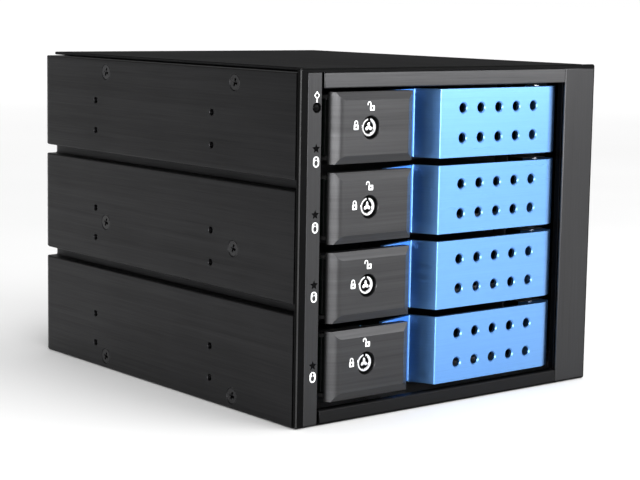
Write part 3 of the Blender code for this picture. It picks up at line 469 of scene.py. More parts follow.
def wire(path, radius, smoothness, closed=False):
    """A round wire along (left, depth, height) points."""
    curve = bpy.data.curves.new("wire", "CURVE")
    curve.dimensions = "3D"
    curve.bevel_depth = radius * MM
    curve.bevel_resolution = smoothness
    curve.use_fill_caps = True
    add_line(curve, [place(*point) for point in path], closed)
    return solved(bpy.data.objects.new("wire", curve))


def together(meshes):
    """Several meshes as one, each still a body of its own."""
    cage = bmesh.new()
    for mesh in meshes:
        cage.from_mesh(mesh)
    return mesh_from(cage)


def shaped(mesh, edge=0.0, segments=3, union=(), common=(), cut=()):
    """The mesh with its edges rounded, then joined to, kept inside and cut by other meshes."""
    thing = bpy.data.objects.new("shaped", mesh)
    helpers = []
    if edge:
        bevel = thing.modifiers.new("edge", "BEVEL")
        bevel.width = edge * MM
        bevel.segments = segments
        bevel.angle_limit = GENTLE
    for operation, others in (("UNION", union), ("INTERSECT", common), ("DIFFERENCE", cut)):
        for other in others:
            helper = bpy.data.objects.new("helper", other)
            helpers.append(helper)
            modifier = thing.modifiers.new("shape", "BOOLEAN")
            modifier.operation = operation
            modifier.solver = "EXACT"
            modifier.object = helper
    result = solved(thing)
    for helper in helpers:
        bpy.data.objects.remove(helper)
    return result


def raised(mesh, height):
    """A copy of the mesh, moved up."""
    copy = mesh.copy()
    copy.transform(Matrix.Translation((0, 0, height * MM)))
    return copy


def flipped(mesh):
    """A copy of the mesh, mirrored in the cage's middle plane."""
    cage = editable(mesh)
    middle = place(WIDTH / 2, 0, 0).x
    for vertex in cage.verts:
        vertex.co.x = 2 * middle - vertex.co.x
    bmesh.ops.reverse_faces(cage, faces=cage.faces)
    return mesh_from(cage)


def show(name, mesh, material, body="cage", stands_for=(), sharp=GENTLE):
    """A finished piece: its mesh, material, body and the CAD nodes it stands for."""
    mesh.name = name
    if not mesh.materials:
        mesh.materials.append(material)
    mesh.shade_smooth()
    mesh.set_sharp_from_angle(angle=sharp)
    piece = bpy.data.objects.new(name, mesh)
    bpy.context.scene.collection.objects.link(piece)
    normals = piece.modifiers.new("normals", "WEIGHTED_NORMAL")
    normals.keep_sharp = True
    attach(piece, body)
    if stands_for:
        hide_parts(*stands_for)
    return piece


def two_tone(mesh, main, other, is_other):
    """The mesh with a main material, and another one on the faces that a test picks."""
    mesh.materials.append(main)
    mesh.materials.append(other)
    for face in mesh.polygons:
        face.material_index = int(is_other(face))
    return mesh


def dress(node, material, edge=0.0):
    """A CAD node that stays: its material and, as modifiers, its rounded edges."""
    thing = frame["nodes"][node]
    if thing.material_slots:
        for holder in thing.material_slots:
            holder.material = material
    else:
        thing.data.materials.append(material)
    weld = thing.modifiers.new("weld", "WELD")
    weld.merge_threshold = 0.00001
    if edge:
        bevel = thing.modifiers.new("edge", "BEVEL")
        bevel.width = edge * MM
        bevel.segments = 2
        bevel.angle_limit = radians(40)
    normals = thing.modifiers.new("normals", "WEIGHTED_NORMAL")
    normals.keep_sharp = False
    return thing


# ---- shell

SHEET = 1.5
FLANGE = 12.0
GROOVE_DEPTH = 4.5
GROOVES = ((82.7, 86.4), (39.8, 43.6))
PATTERN_DEPTHS = (47.4, 126.64)
PATTERN_HEIGHTS = (9.15, 21.0)
BAY_PITCH = 42.85
SCREW_DEPTHS = (33.5, 119.0)
SCREW_HEIGHTS = (118.1, 58.75, 4.8)
SCREW_HEAD = 3.0
SCREW_SHANK = 1.45
REAR_TUCK = (2.4, 0.8)
# Profiles of (radius, distance behind the panel's face) for what is cut into the side panels
TAPPED_HOLE = ((0, -0.5), (1.85, -0.5), (1.25, 0.15), (1.25, 2.5), (0, 2.5))
COUNTERSINK = ((0, -0.5), (SCREW_HEAD + 0.8, -0.5), (1.7, 1.25), (1.7, 2.5), (0, 2.5))


def panel_mesh():
    """The left side panel: flanges and rail grooves, holes, countersinks and a tucked-in rear edge."""
    (_, front, _), (_, rear, top) = limits("left_side_panel")
    path = [(FLANGE, top), (0.0, top)]
    for low, high in GROOVES:
        path += [(0.0, high), (GROOVE_DEPTH, high), (GROOVE_DEPTH, low), (0.0, low)]
    path += [(0.0, 0.0), (FLANGE, 0.0)]
    inner = rounded(offset_path(path, -SHEET), 0.4)
    sheet = section_solid([rounded(path, 0.55) + list(reversed(inner))], front, rear)
    cage = editable(sheet)
    tuck_start = place(0, rear - REAR_TUCK[0], 0)
    everything = [*cage.verts, *cage.edges, *cage.faces]
    bmesh.ops.bisect_plane(cage, geom=everything, plane_co=tuck_start, plane_no=(0, 1, 0))
    for vertex in cage.verts:
        if vertex.co.y > tuck_start.y + 1e-5:
            vertex.co.x += REAR_TUCK[1] * MM
    tucked = mesh_from(cage)
    holes = []
    for depth in PATTERN_DEPTHS:
        for bay in range(3):
            for height in PATTERN_HEIGHTS:
                holes.append(turned(TAPPED_HOLE, (0, depth, height + bay * BAY_PITCH), "left", 24))
    for depth in SCREW_DEPTHS:
        for height in SCREW_HEIGHTS:
            holes.append(turned(COUNTERSINK, (0, depth, height), "left"))
    return shaped(tucked, cut=[together(holes)])


def cross_recess(spot, axis, size, deep):
    """A Phillips recess: two crossed slots that narrow towards the bottom."""
    slots = []
    for turn in (0, 90):
        cage = bmesh.new()
        bmesh.ops.create_cube(cage, size=1.0)
        for vertex in cage.verts:
            share = 1.0 if vertex.co.z < 0 else 0.45
            vertex.co.x *= size * share * MM
            vertex.co.y *= size * 0.3 * share * MM
            vertex.co.z = (-0.3 if vertex.co.z < 0 else deep) * MM
        bmesh.ops.rotate(cage, verts=cage.verts, matrix=Matrix.Rotation(radians(turn + 20), 3, "Z"))
        mesh = mesh_from(cage)
        mesh.transform(Matrix.Translation(place(*spot)) @ ALONG[axis])
        slots.append(mesh)
    return slots


def countersunk_screw(spot, axis):
    """A countersunk cross-head screw whose head is flush with the surface at the spot."""
    profile = [(0, 0.12), (SCREW_HEAD - 0.25, 0.12), (SCREW_HEAD, 0.3)]
    profile += [(SCREW_SHANK, 1.6), (SCREW_SHANK, 5.0), (0, 5.0)]
    return shaped(turned(profile, spot, axis), cut=cross_recess(spot, axis, 3.6, 1.3))


def build_shell():
    left = panel_mesh()
    show("left_panel", left, PANEL, stands_for=["left_side_panel"])
    show("right_panel", flipped(left), PANEL, stands_for=["right_side_panel"])
    (left, front, low), (right, rear, high) = limits("top_cover")
    (_, panel_front, _), (_, panel_rear, panel_top) = limits("rear_panel")
    lip = block((left + FLANGE, right - FLANGE), (panel_front, panel_rear), (panel_top + 0.15, low + 0.2))
    cover = shaped(block((left, right), (front, rear), (low, high)), 0.35, 3, union=[lip])
    # The cover's sides and underside take the black panel finish so that they show darker: painted shade on
    # its edges
    cover = two_tone(cover, COVER, PANEL, lambda face: face.normal.z <= 0.5)
    show("top_sheet", cover, COVER, stands_for=["top_cover"])
    dress("bottom_plate", ZINC)
    spots = [(0, depth, height) for depth in SCREW_DEPTHS for height in SCREW_HEIGHTS]
    for index, spot in enumerate(spots, start=1):
        screw = countersunk_screw(spot, "left")
        show(f"left_case_screw_{index}", screw, BLACK_SCREW)
        show(f"right_case_screw_{index}", flipped(screw), BLACK_SCREW)


# ---- bezel

INDICATOR_LEFT = 7.24
BUTTON_HEIGHT = 111.1
STAR_HEIGHTS = (97.1, 74.4, 50.0, 21.7)
DRIVE_ICON_HEIGHTS = (92.6, 69.9, 45.8, 17.6)
ALARM_ICON_HEIGHT = 115.3
STAR_RADII = (1.85, 0.85)
LENS_RADII = (1.79, 0.82)
LENS_LENGTH = 1.5
# The pictograms: half widths and half heights, the diamond's two sizes and the stem's outline
DRIVE_PILL = (1.3, 1.9)
DRIVE_SLOT = (0.8, 0.95)
ALARM_DIAMONDS = (1.25, 0.8)
ALARM_STEM = ((-0.22, -2.4), (0.22, -2.4), (0.22, -1.45), (-0.22, -1.45))
BUTTON_HOLE = 1.85
BUTTON_RADIUS = 1.6
BUTTON_DOME = 0.75
LAMP_HOLE = 1.2
RIM_LEFT = 3.3
RIM_RIGHT = 0.4
RIM_TOP = 1.3
RIM_BOTTOM = 0.4
RECESS_BACK = -2.7
BEZEL_STEP = -2.2
RING_MARGIN = 1.9
OPENING = (10.55, 129.6)
OPENING_HEIGHT = (5.1, 117.8)


def star(centre, radii, points=5):
    """A star's corners, from its top: the outer and inner radius in turn."""
    corners = []
    for index in range(2 * points):
        radius = radii[index % 2]
        angle = pi / 2 + pi * index / points
        corners.append((centre[0] + radius * cos(angle), centre[1] + radius * sin(angle)))
    return corners


def drawn_at(outline, centre, size=1.0):
    """An outline drawn around (0, 0), sized and then moved to a centre."""
    return [(centre[0] + x * size, centre[1] + z * size) for x, z in outline]


def printed(name, loops, front, body="cage"):
    """Printed ink: a film a few hundredths of a millimetre thick on a front face."""
    show(name, section_solid(loops, front - 0.05, front + 0.02), PRINT, body)


def pill(centre, half_width, half_height):
    reach = half_height - half_width
    top = arc((centre[0], centre[1] + reach), half_width, 0, 180, 10)
    return top + arc((centre[0], centre[1] - reach), half_width, 180, 360, 10)


def bezel_mesh():
    """The moulded bezel: a rim around a recess, a ring behind it and the openings."""
    (left, front, low), (right, back, high) = limits("bezel_frame")
    rim = block((left, right), (front, BEZEL_STEP), (low, high))
    ring = block(
        (OPENING[0] - RING_MARGIN, OPENING[1] + 2 * RING_MARGIN),
        (BEZEL_STEP - 0.2, back),
        (OPENING_HEIGHT[0] - RING_MARGIN, OPENING_HEIGHT[1] + RING_MARGIN),
    )
    recess = block((RIM_LEFT, right - RIM_RIGHT), (front - 1, RECESS_BACK), (RIM_BOTTOM, high - RIM_TOP))
    holes = [rod(BUTTON_HOLE, (INDICATOR_LEFT, front - 1, BUTTON_HEIGHT), 6)]
    holes += [rod(LAMP_HOLE, (INDICATOR_LEFT, front - 1, height), 6) for height in STAR_HEIGHTS]
    opening = block(OPENING, (front - 1, back + 1), OPENING_HEIGHT)
    shell = shaped(rim, 0.8, 4, union=[ring], cut=[recess, opening, together(holes)])
    # Faces that turn both front and left, along the bezel's front-left edge, take the lit copy: a painted
    # highlight line
    return two_tone(shell, BEZEL_PLASTIC, BEZEL_CORNER_HIGHLIGHT, lambda face: max(face.normal.x, face.normal.y) < -0.2)


def build_bezel():
    show("bezel_shell", bezel_mesh(), BEZEL_PLASTIC, stands_for=["bezel_frame"])
    (left, front, low), (right, back, high) = limits("indicator_strip")
    windows = [rod(BUTTON_HOLE, (INDICATOR_LEFT, front - 1, BUTTON_HEIGHT), 4)]
    for height in STAR_HEIGHTS:
        windows.append(section_solid([star((INDICATOR_LEFT, height), STAR_RADII)], front - 1, back + 1))
    strip = shaped(block((left, right), (front, back), (low, high)), 0.3, 3, cut=[together(windows)])
    show("indicator_strip_face", strip, TRIM_UPRIGHT, stands_for=["indicator_strip"])
    # The top trim takes the lighter copy and the bottom trim the darker one: painted light and painted shade
    dress("top_trim", TRIM_ACROSS_LIT, 0.12)
    dress("bottom_trim", TRIM_LOWER_SHADED, 0.12)
    dress("right_trim", TRIM_UPRIGHT, 0.12)

    places = zip(STAR_HEIGHTS, DRIVE_ICON_HEIGHTS)
    for index, (height, icon_height) in enumerate(places, start=1):
        (_, lens_front, _), (_, lens_back, _) = limits(f"light_pipe_{index}")
        outline = star((INDICATOR_LEFT, height), LENS_RADII)
        lens = section_solid([outline], lens_front + 0.1, lens_front + LENS_LENGTH)
        stem_spot = (INDICATOR_LEFT, lens_front + LENS_LENGTH, height)
        stem = rod(0.9, stem_spot, lens_back - lens_front - LENS_LENGTH, edge=0.1)
        mesh = shaped(lens, union=[stem])
        show(f"star_lens_{index}", mesh, LENS, stands_for=[f"light_pipe_{index}"])
        outer = pill((INDICATOR_LEFT, icon_height), *DRIVE_PILL)
        spindle = circle((INDICATOR_LEFT, icon_height + 1.05), 0.5, 16)
        slot = pill((INDICATOR_LEFT, icon_height - 0.45), *DRIVE_SLOT)
        printed(f"drive_icon_{index}", [outer, spindle, slot], front)

    centre = (INDICATOR_LEFT, ALARM_ICON_HEIGHT)
    diamond = ((1, 0), (0, 1.15), (-1, 0), (0, -1.15))
    printed("alarm_icon_lamp", [drawn_at(diamond, centre, size) for size in ALARM_DIAMONDS], front)
    printed("alarm_icon_stem", [drawn_at(ALARM_STEM, centre)], front)

    (_, button_front, _), (_, button_back, _) = limits("alarm_button")
    length = button_back - button_front
    dome = [(BUTTON_RADIUS * x, BUTTON_DOME * (1 - z)) for x, z in arc((0.0, 0.0), 1.0, 90, 0, 10)[1:]]
    profile = [(0, 0)] + dome + [(BUTTON_RADIUS, length), (0, length)]
    button = turned(profile, (INDICATOR_LEFT, button_front, BUTTON_HEIGHT))
    show("alarm_button_cap", button, LENS, "button", ["alarm_button"])


# ---- trays

HANDLE_SHEET = 1.6
HANDLE_RADIUS = 6.8
ROLL_RADIUS = 9.0
ROLL_END = -35
TAB_LEFT = 43.7
SLOPE_HALF = 12.3
POCKET_HALF = 11.3
RIDGE_LEFT = 65.7
VALLEY = (61.0, 6.3)
CREST = (38.7, 0.2)
CREST_WIDTH = 2.0
POCKET_DEPTH = 5.3
KNUCKLE_LEFT = 118.3
HINGE_BORE = 1.75
LATCH_BORE = 1.2
LUG_RADIUS = 3.0
LUG_THICKNESS = 1.2
VENT_LEFT = 76.8
VENT_PITCH = 9.15
VENT_COLUMNS = 5
VENT_ROW = 5.5
VENT_RADIUS = 1.75
VENT_SINK = 0.42
LATCH_THICKNESS = 4.6
LATCH_ROLL = 6.2
LATCH_ROLL_TURN = 64
LATCH_PROUD = 0.6
LATCH_CHAMFER = (2.9, 1.4)
CHAMFER_TURN = radians(20)
LATCH_KNUCKLE = (2.0, 9.8)
LOCK_BORE = 4.1
LOCK_RADIUS = 3.35
LOCK_RIM = ((0, 1.5), (2.1, 1.5), (2.2, 0.3), (2.5, 0.0), (3.1, 0.0), (LOCK_RADIUS, 0.25))
KEY_POST = (1.15, 0.5)
LOCK_BOSS = 5.3
LOCKED_ICON = (-6.75, 1.2)
UNLOCKED_ICON = (0.5, 7.7)
PADLOCK_BODY = (1.05, 1.85)
SHACKLE_RADII = (0.82, 0.45)
SHACKLE_RISE = 0.6
SHACKLE_SHIFT = 1.35


def handle_mesh(middle):
    """A swing handle, rounded over its hinge, with countersunk vents and a pocket behind the latch."""
    (left, front, low), (_, _, high) = limits("handle_1")
    pivot = joint_centre("handle_hinge_1")[:2]
    rounding = arc(pivot, HANDLE_RADIUS, 25, -10, 10)
    rounding += arc((pivot[0], front + ROLL_RADIUS), ROLL_RADIUS, ROLL_END, -90, 20)
    bends = [(RIDGE_LEFT, front), VALLEY, CREST, (CREST[0] - CREST_WIDTH, CREST[1])]
    bends += [(CREST[0] - CREST_WIDTH, POCKET_DEPTH), (left, POCKET_DEPTH)]
    outer = rounded([rounding[-1]] + bends, 0.7, steps=6)
    inner = rounded(offset_path([rounding[-1]] + bends, HANDLE_SHEET), 0.4)
    outline = rounding[:-1] + outer + list(reversed(inner[1:]))
    outline += [(KNUCKLE_LEFT, front + HANDLE_SHEET), (KNUCKLE_LEFT, rounding[0][1])]
    body = plan_solid(outline, low, high)

    latch_pivot = joint_centre("latch_hinge_1")[:2]
    base = POCKET_DEPTH + 0.5
    tab = arc(latch_pivot, LUG_RADIUS, 180, 360, 16)
    tab += [(latch_pivot[0] + LUG_RADIUS, base), (latch_pivot[0] - LUG_RADIUS, base)]
    lugs = []
    trims = []
    for side in (-1, 1):
        reach = POCKET_HALF - LUG_THICKNESS
        bottom, top = sorted((middle + side * POCKET_HALF, middle + side * reach))
        lugs.append(plan_solid(tab, bottom, top))
        for end, half in ((VALLEY[0], SLOPE_HALF), (TAB_LEFT, POCKET_HALF)):
            heights = sorted((middle + side * half, middle + side * (half + 2)))
            trims.append(block((left - 1, end), (CREST[1] - 1, VALLEY[1] + 3), heights))
    holes = [rod(HINGE_BORE, (*pivot, low - 1), high - low + 2, "height")]
    holes.append(rod(LATCH_BORE, (*latch_pivot, low - 1), high - low + 2, "height"))
    vent = [(0, -1), (VENT_RADIUS + VENT_SINK + 1, -1), (VENT_RADIUS, VENT_SINK), (VENT_RADIUS, 4), (0, 4)]
    for column in range(VENT_COLUMNS):
        for row in (-VENT_ROW, VENT_ROW):
            holes.append(turned(vent, (VENT_LEFT + column * VENT_PITCH, front, middle + row), segments=36))
    trimmed = shaped(body, 0.28, 3, cut=trims)
    return shaped(trimmed, union=lugs, cut=[together(holes)])


def latch_mesh(middle):
    """A latch lever: a thick plate with a rolled left edge and chamfers, its hinge knuckle and lock boss."""
    (left, front, low), (right, back, high) = limits("latch_1")
    slab_back = front + LATCH_THICKNESS
    tall, deep = LATCH_CHAMFER
    roll_left = left - LATCH_PROUD + LATCH_ROLL * sin(radians(LATCH_ROLL_TURN))
    plan = arc((roll_left, front + LATCH_ROLL), LATCH_ROLL, 270 - LATCH_ROLL_TURN, 270, 24)
    plan += [(right - tall, front), (right, front + deep)]
    plan += [(right, slab_back), (left + LATCH_PROUD, slab_back)]
    section = [(front - deep, low + 2 * tall), (front + deep, low), (slab_back + 1, low)]
    section += [(slab_back + 1, high), (front + deep, high), (front - deep, high - 2 * tall)]
    slab = shaped(plan_solid(plan, low - 1, high + 1), common=[profile_solid(section, left - 1, right + 1)])

    pivot = joint_centre("latch_hinge_1")
    key = joint_centre("key_turn_1")
    radius, half = LATCH_KNUCKLE
    knuckle = rod(radius, (pivot[0], pivot[1], middle - half), 2 * half, "height")
    neck = block((pivot[0] - 1.5, pivot[0] + 1.7), (slab_back - 1, pivot[1]), (middle - half, middle + half))
    boss = rod(LOCK_BOSS, (key[0], slab_back - 1, key[2]), back - slab_back + 1)
    rim = [(0, -1.0), (LOCK_BORE + 1.15, -1.0), (LOCK_BORE, 0.15), (LOCK_BORE, 12), (0, 12)]
    bore = turned(rim, (key[0], front, key[2]), segments=48)
    pin_hole = rod(LATCH_BORE, (pivot[0], pivot[1], low - 2), high - low + 4, "height")
    return shaped(slab, 0.3, 3, union=[neck, knuckle, boss], cut=[together([bore, pin_hole])])


def lock_mesh():
    """The lock's core: a bright notched rim around a sunk ring painted dark as shade, and a three-lobed key
    post.
    """
    centre, _, height = joint_centre("key_turn_1")
    (_, front, _), (_, back, _) = limits("lock_core_1")
    length = back - front
    profile = [*LOCK_RIM, (LOCK_RADIUS, length), (0, length)]
    barrel = turned(profile, (centre, front, height), segments=48)
    notch = block((centre - 0.5, centre + 0.5), (front - 1, front + 1.4), (height + 2.1, height + 4))
    lobes = []
    for step in range(48):
        angle = tau * step / 48
        radius = KEY_POST[0] + KEY_POST[1] * cos(3 * (angle - pi / 2))
        lobes.append((centre + radius * cos(angle), height + radius * sin(angle)))
    post = shaped(section_solid([lobes], front + 0.15, front + 2.4), 0.12, 2)
    core = shaped(barrel, union=[post], cut=[notch])
    middle = place(centre, front, height)

    # The sunk ring's walls and floor are painted dark: painted shade in the recess
    def in_painted_shade(face):
        spot = (face.center - middle) / MM
        return spot.y > 0.4 and 1.2 < hypot(spot.x, spot.z) < 3.3

    return two_tone(core, CHROME, RECESS_SHADE, in_painted_shade)


def padlock(centre, is_open):
    """A padlock pictogram: a body with a keyhole, and a shackle, moved to one side when open."""
    x, z = centre
    half, tall = PADLOCK_BODY
    body = rounded([(x - half, z - tall), (x + half, z - tall), (x + half, z), (x - half, z)], 0.25, True, 3)
    keyhole = circle((x, z - tall / 2), 0.45, 16)
    wide, narrow = SHACKLE_RADII
    if is_open:
        x -= SHACKLE_SHIFT
    outer = arc((x, z + SHACKLE_RISE), wide, 0, 180, 12)
    inner = arc((x, z + SHACKLE_RISE), narrow, 180, 0, 12)
    foot = 0.1 if is_open else 0.06
    legs = [(x - wide, z + foot), (x - narrow, z + foot)]
    return [body, keyhole], [outer + legs + inner + [(x + narrow, z + 0.06), (x + wide, z + 0.06)]]


def build_trays():
    """Tray 1's handle, latch and lock are made once and copied down to the other trays."""
    middles = {index: sum(corner[2] for corner in limits(f"handle_{index}")) / 2 for index in TRAYS}
    shade_edge = place(CREST[0] - CREST_WIDTH - 0.5, 0, 0).x
    # The pocket left of the crest, behind the latch, is painted near-black: painted shade
    handle = two_tone(handle_mesh(middles[1]), HANDLE_METAL, RECESS_SHADE, lambda face: face.center.x < shade_edge)
    latch = latch_mesh(middles[1])
    pieces = (
        ("handle_shell", handle, HANDLE_METAL, "blue_aluminium", "handle", "handle", GENTLE),
        ("latch_lever", latch, LATCH_METAL, "grey_aluminium", "latch", "latch", CHAMFER_TURN),
        ("lock_barrel", lock_mesh(), CHROME, "chrome", "lock", "lock_core", GENTLE),
    )
    latch_front = limits("latch_1")[0][1]
    key = joint_centre("key_turn_1")
    for index in TRAYS:
        drop = middles[index] - middles[1]
        for name, mesh, material, slot, body, node, sharp in pieces:
            mesh = raised(mesh, drop)
            show(f"{name}_{index}", mesh, material, f"{body}_{index}", [f"{node}_{index}"], sharp)
        for state, shift in (("locked", LOCKED_ICON), ("unlocked", UNLOCKED_ICON)):
            body, shackle = padlock((key[0] + shift[0], key[2] + shift[1] + drop), state == "unlocked")
            printed(f"{state}_icon_body_{index}", body, latch_front, f"latch_{index}")
            printed(f"{state}_icon_shackle_{index}", shackle, latch_front, f"latch_{index}")
        dress(f"tray_{index}", DARK_STEEL)
        dress(f"hinge_pin_{index}", ZINC, 0.2)
        dress(f"latch_pin_{index}", BLACK_SCREW, 0.2)


# ---- inside and rear

CONTACT_THICKNESS = 0.25
CHIP_LEFT = 116.0
CHIP_SIZE = (9.0, 7.0)
# A can's profile of (radius, distance from its top), and where the cans stand
CAPACITOR = ((0, 0), (2.2, 0), (2.5, 0.3), (2.5, 4.6), (2.3, 4.9), (2.5, 5.2), (2.5, 5.8), (0, 5.8))
CAPACITOR_LEFTS = (14.0, 130.0)
POWER_PIN_PITCH = 5.08
POWER_PIN_RADIUS = 1.08


def build_inside():
    dress("left_guide_wall", ZINC)
    dress("right_guide_wall", ZINC)
    dress("backplane_board", BOARD)
    dress("indicator_board", BOARD)
    board_front = limits("backplane_board")[0][1]
    for index in TRAYS:
        dress(f"drive_socket_{index}", DARK_PLASTIC, 0.25)
        dress(f"data_port_{index}", DARK_PLASTIC, 0.25)
        build_contacts(index)
        build_board_parts(index, board_front)
    build_indicator_lamps()


def contact_row(name, rows, front, back, height):
    """Flat spring contacts side by side in rows, each row (start, end, number of contacts)."""
    fingers = []
    for start, end, count in rows:
        pitch = (end - start) / count
        for index in range(count):
            left = start + (index + 0.25) * pitch
            finger = block((left, left + pitch / 2), (front, back), (height, height + CONTACT_THICKNESS))
            fingers.append(shaped(finger, 0.05, 1))
    show(name, together(fingers), GOLD)


def build_contacts(index):
    """Seven data and fifteen power contacts in the drive socket, and seven in the data port behind it."""
    (left, front, low), _ = limits(f"drive_socket_{index}")
    rows = [(left + start, left + end, count) for start, end, count in ((2.3, 12.2, 7), (15.8, 37.2, 15))]
    contact_row(f"socket_contacts_{index}", rows, front + 0.4, front + 4.6, low + 2.65)
    (left, _, low), (right, rear, high) = limits(f"data_port_{index}")
    rows = [(left + 2.8, right - 2.8, 7)]
    contact_row(f"port_contacts_{index}", rows, rear - 4.6, rear - 0.4, (low + high) / 2 - 0.95)


def build_board_parts(index, front):
    """Beside each tray's windows in the backplane: a chip with its legs, and two capacitors."""
    (_, _, low), (_, _, high) = limits(f"data_port_{index}")
    middle = (low + high) / 2
    wide, tall = CHIP_SIZE
    body = block((CHIP_LEFT, CHIP_LEFT + wide), (front - 1.6, front - 0.15), (middle, middle + tall))
    show(f"board_chip_{index}", shaped(body, 0.2, 2), CHIP)
    legs = []
    for leg in range(7):
        left = CHIP_LEFT + 0.9 + leg * 1.2
        for bottom in (middle - 0.9, middle + tall - 0.1):
            legs.append(block((left, left + 0.45), (front - 0.7, front + 0.02), (bottom, bottom + 1.0)))
    show(f"chip_legs_{index}", together(legs), ZINC)
    cans = [turned(CAPACITOR, (left, front - 5.9, middle + 4.0), segments=28) for left in CAPACITOR_LEFTS]
    show(f"capacitors_{index}", together(cans), ZINC)


def build_indicator_lamps():
    """A small lamp on the indicator board behind each light pipe."""
    (_, front, _), (right, _, _) = limits("indicator_board")
    lamps = []
    for height in STAR_HEIGHTS:
        lamp = block((right, right + 1.1), (front, front + 1.8), (height - 0.9, height + 0.9))
        lamps.append(shaped(lamp, 0.15, 2))
    show("indicator_lamps", together(lamps), PRINT)


def build_rear():
    dress("rear_panel", PANEL)
    for index in (1, 2):
        dress(f"power_port_{index}", DARK_PLASTIC, 0.2)
        build_power_pins(index)
    build_fan_frame()
    build_fan_rotor()
    build_fan_guard()
    build_fan_lead()


def build_power_pins(index):
    """Tinned sleeves over the four pins of a power header."""
    (left, _, low), (right, rear, high) = limits(f"power_port_{index}")
    pins = []
    for step in (-1.5, -0.5, 0.5, 1.5):
        spot = ((left + right) / 2 + step * POWER_PIN_PITCH, rear - 8.4, (low + high) / 2)
        pins.append(rod(POWER_PIN_RADIUS, spot, 6.6, edge=0.35, segments=20))
    show(f"power_pins_{index}", together(pins), CHROME)


FAN_THROAT = 38.2
FAN_BARREL = 39.7
FAN_FLANGE = 4.0
FAN_CORNER = 4.0
FAN_POST = 3.9
FAN_BORE = 2.2
STRUT_HALF = 1.6
FAN_SCREW_OFFSET = 35.75
MOTOR_RADIUS = 18.5
MOTOR_PLATE = 2.6
HUB_RADIUS = 18.0
BLADE_RADIUS = 35.6
BLADES = 7
GUARD_RINGS = (13.0, 21.5, 30.0, 38.2)
GUARD_WIRE = 0.72
EYE_RADIUS = 3.1
MOTOR_LABEL = ((0, 0.03), (15.9, 0.03), (16.0, 0.0), (16.0, -0.3), (0, -0.3))
# A blade at the hub and at its tip: its chord, its lean in degrees and its sweep in degrees
BLADE_CHORDS = (17.0, 23.0)
BLADE_LEANS = (46.0, 32.0)
BLADE_SWEEP = -9.0
BLADE_CAMBER = 2.6
BLADE_THICKNESS = (0.75, 0.12)
BLADE_STATIONS = 8
BLADE_STEPS = 12
LEAD_OFFSET = 43.6
LEAD_RADIUS = 0.62
LEAD_STEPS = 24
GROMMET = ((0, 0), (2.8, 0), (3.2, 0.4), (3.2, 1.0), (2.4, 1.5), (0, 1.5))


def fan_place():
    """The fan frame's centre as (left, height), and its front and rear depth."""
    (left, front, low), (right, rear, high) = limits("fan_frame")
    return ((left + right) / 2, (low + high) / 2), front, rear


def fan_corners(centre):
    """The fan's four screws as (left, height)."""
    return drawn_at([(x, z) for x in (-1, 1) for z in (-1, 1)], centre, FAN_SCREW_OFFSET)


def build_fan_frame():
    """Two square flanges on a round barrel, bored at the corners, with a motor plate on four struts."""
    centre, front, rear = fan_place()
    across, up = centre
    length = rear - front
    half = limits("fan_frame")[1][0] - across
    outline = rounded(drawn_at(((1, 1), (-1, 1), (-1, -1), (1, -1)), centre, half), FAN_CORNER, True, 8)
    parts = []
    for start in (front, rear - FAN_FLANGE):
        parts.append(shaped(section_solid([outline], start, start + FAN_FLANGE), 0.4, 2))
    parts += [rod(FAN_POST, (x, front + 1, z), length - 2, segments=28) for x, z in fan_corners(centre)]
    body = shaped(rod(FAN_BARREL, (across, front + 1, up), length - 2, segments=72), union=parts)
    flare = [(FAN_THROAT + 1.6, -1), (FAN_THROAT + 0.9, 0), (FAN_THROAT, 2.2)]
    profile = [(0, -1)] + flare + [(radius, length - reach) for radius, reach in reversed(flare)]
    throat = turned(profile + [(0, length + 1)], (across, front, up), segments=96)
    bores = [rod(FAN_BORE, (x, front - 1, z), length + 2, segments=24) for x, z in fan_corners(centre)]
    body = shaped(body, cut=[throat, together(bores)])
    plate = [(0, 0), (MOTOR_RADIUS - 0.5, 0), (MOTOR_RADIUS, 0.5), (MOTOR_RADIUS, MOTOR_PLATE - 0.4)]
    plate += [(MOTOR_RADIUS - 0.4, MOTOR_PLATE), (0, MOTOR_PLATE)]
    struts = [turned(plate, (across, rear - MOTOR_PLATE, up), segments=56)]
    axis = place(across, 0, up)
    reach = (across + MOTOR_RADIUS - 1, across + FAN_THROAT + 1)
    for degrees in (45, 135, 225, 315):
        bar = block(reach, (rear - MOTOR_PLATE + 0.1, rear - 0.1), (up - STRUT_HALF, up + STRUT_HALF))
        bar = shaped(bar, 0.5, 2)
        turn = Matrix.Rotation(radians(degrees), 4, "Y")
        bar.transform(Matrix.Translation(axis) @ turn @ Matrix.Translation(-axis))
        struts.append(bar)
    show("fan_shroud", shaped(body, union=struts), DARK_PLASTIC, stands_for=["fan_frame"])
    show("fan_motor_label", turned(MOTOR_LABEL, (across, rear, up), segments=56), STICKER)


def blade_section():
    """A cambered section, once around: (place along the chord from -0.5 to 0.5, rise above it)."""
    points = []
    for side in (1, -1):
        for step in range(BLADE_STEPS + 1):
            along = (step / BLADE_STEPS - 0.5) * side
            thickness = BLADE_THICKNESS[0] * sqrt(max(0.0, 1.0 - (2 * along) ** 2)) + BLADE_THICKNESS[1]
            points.append((along, BLADE_CAMBER * (1 - (2 * along) ** 2) + side * thickness / 2))
    return points


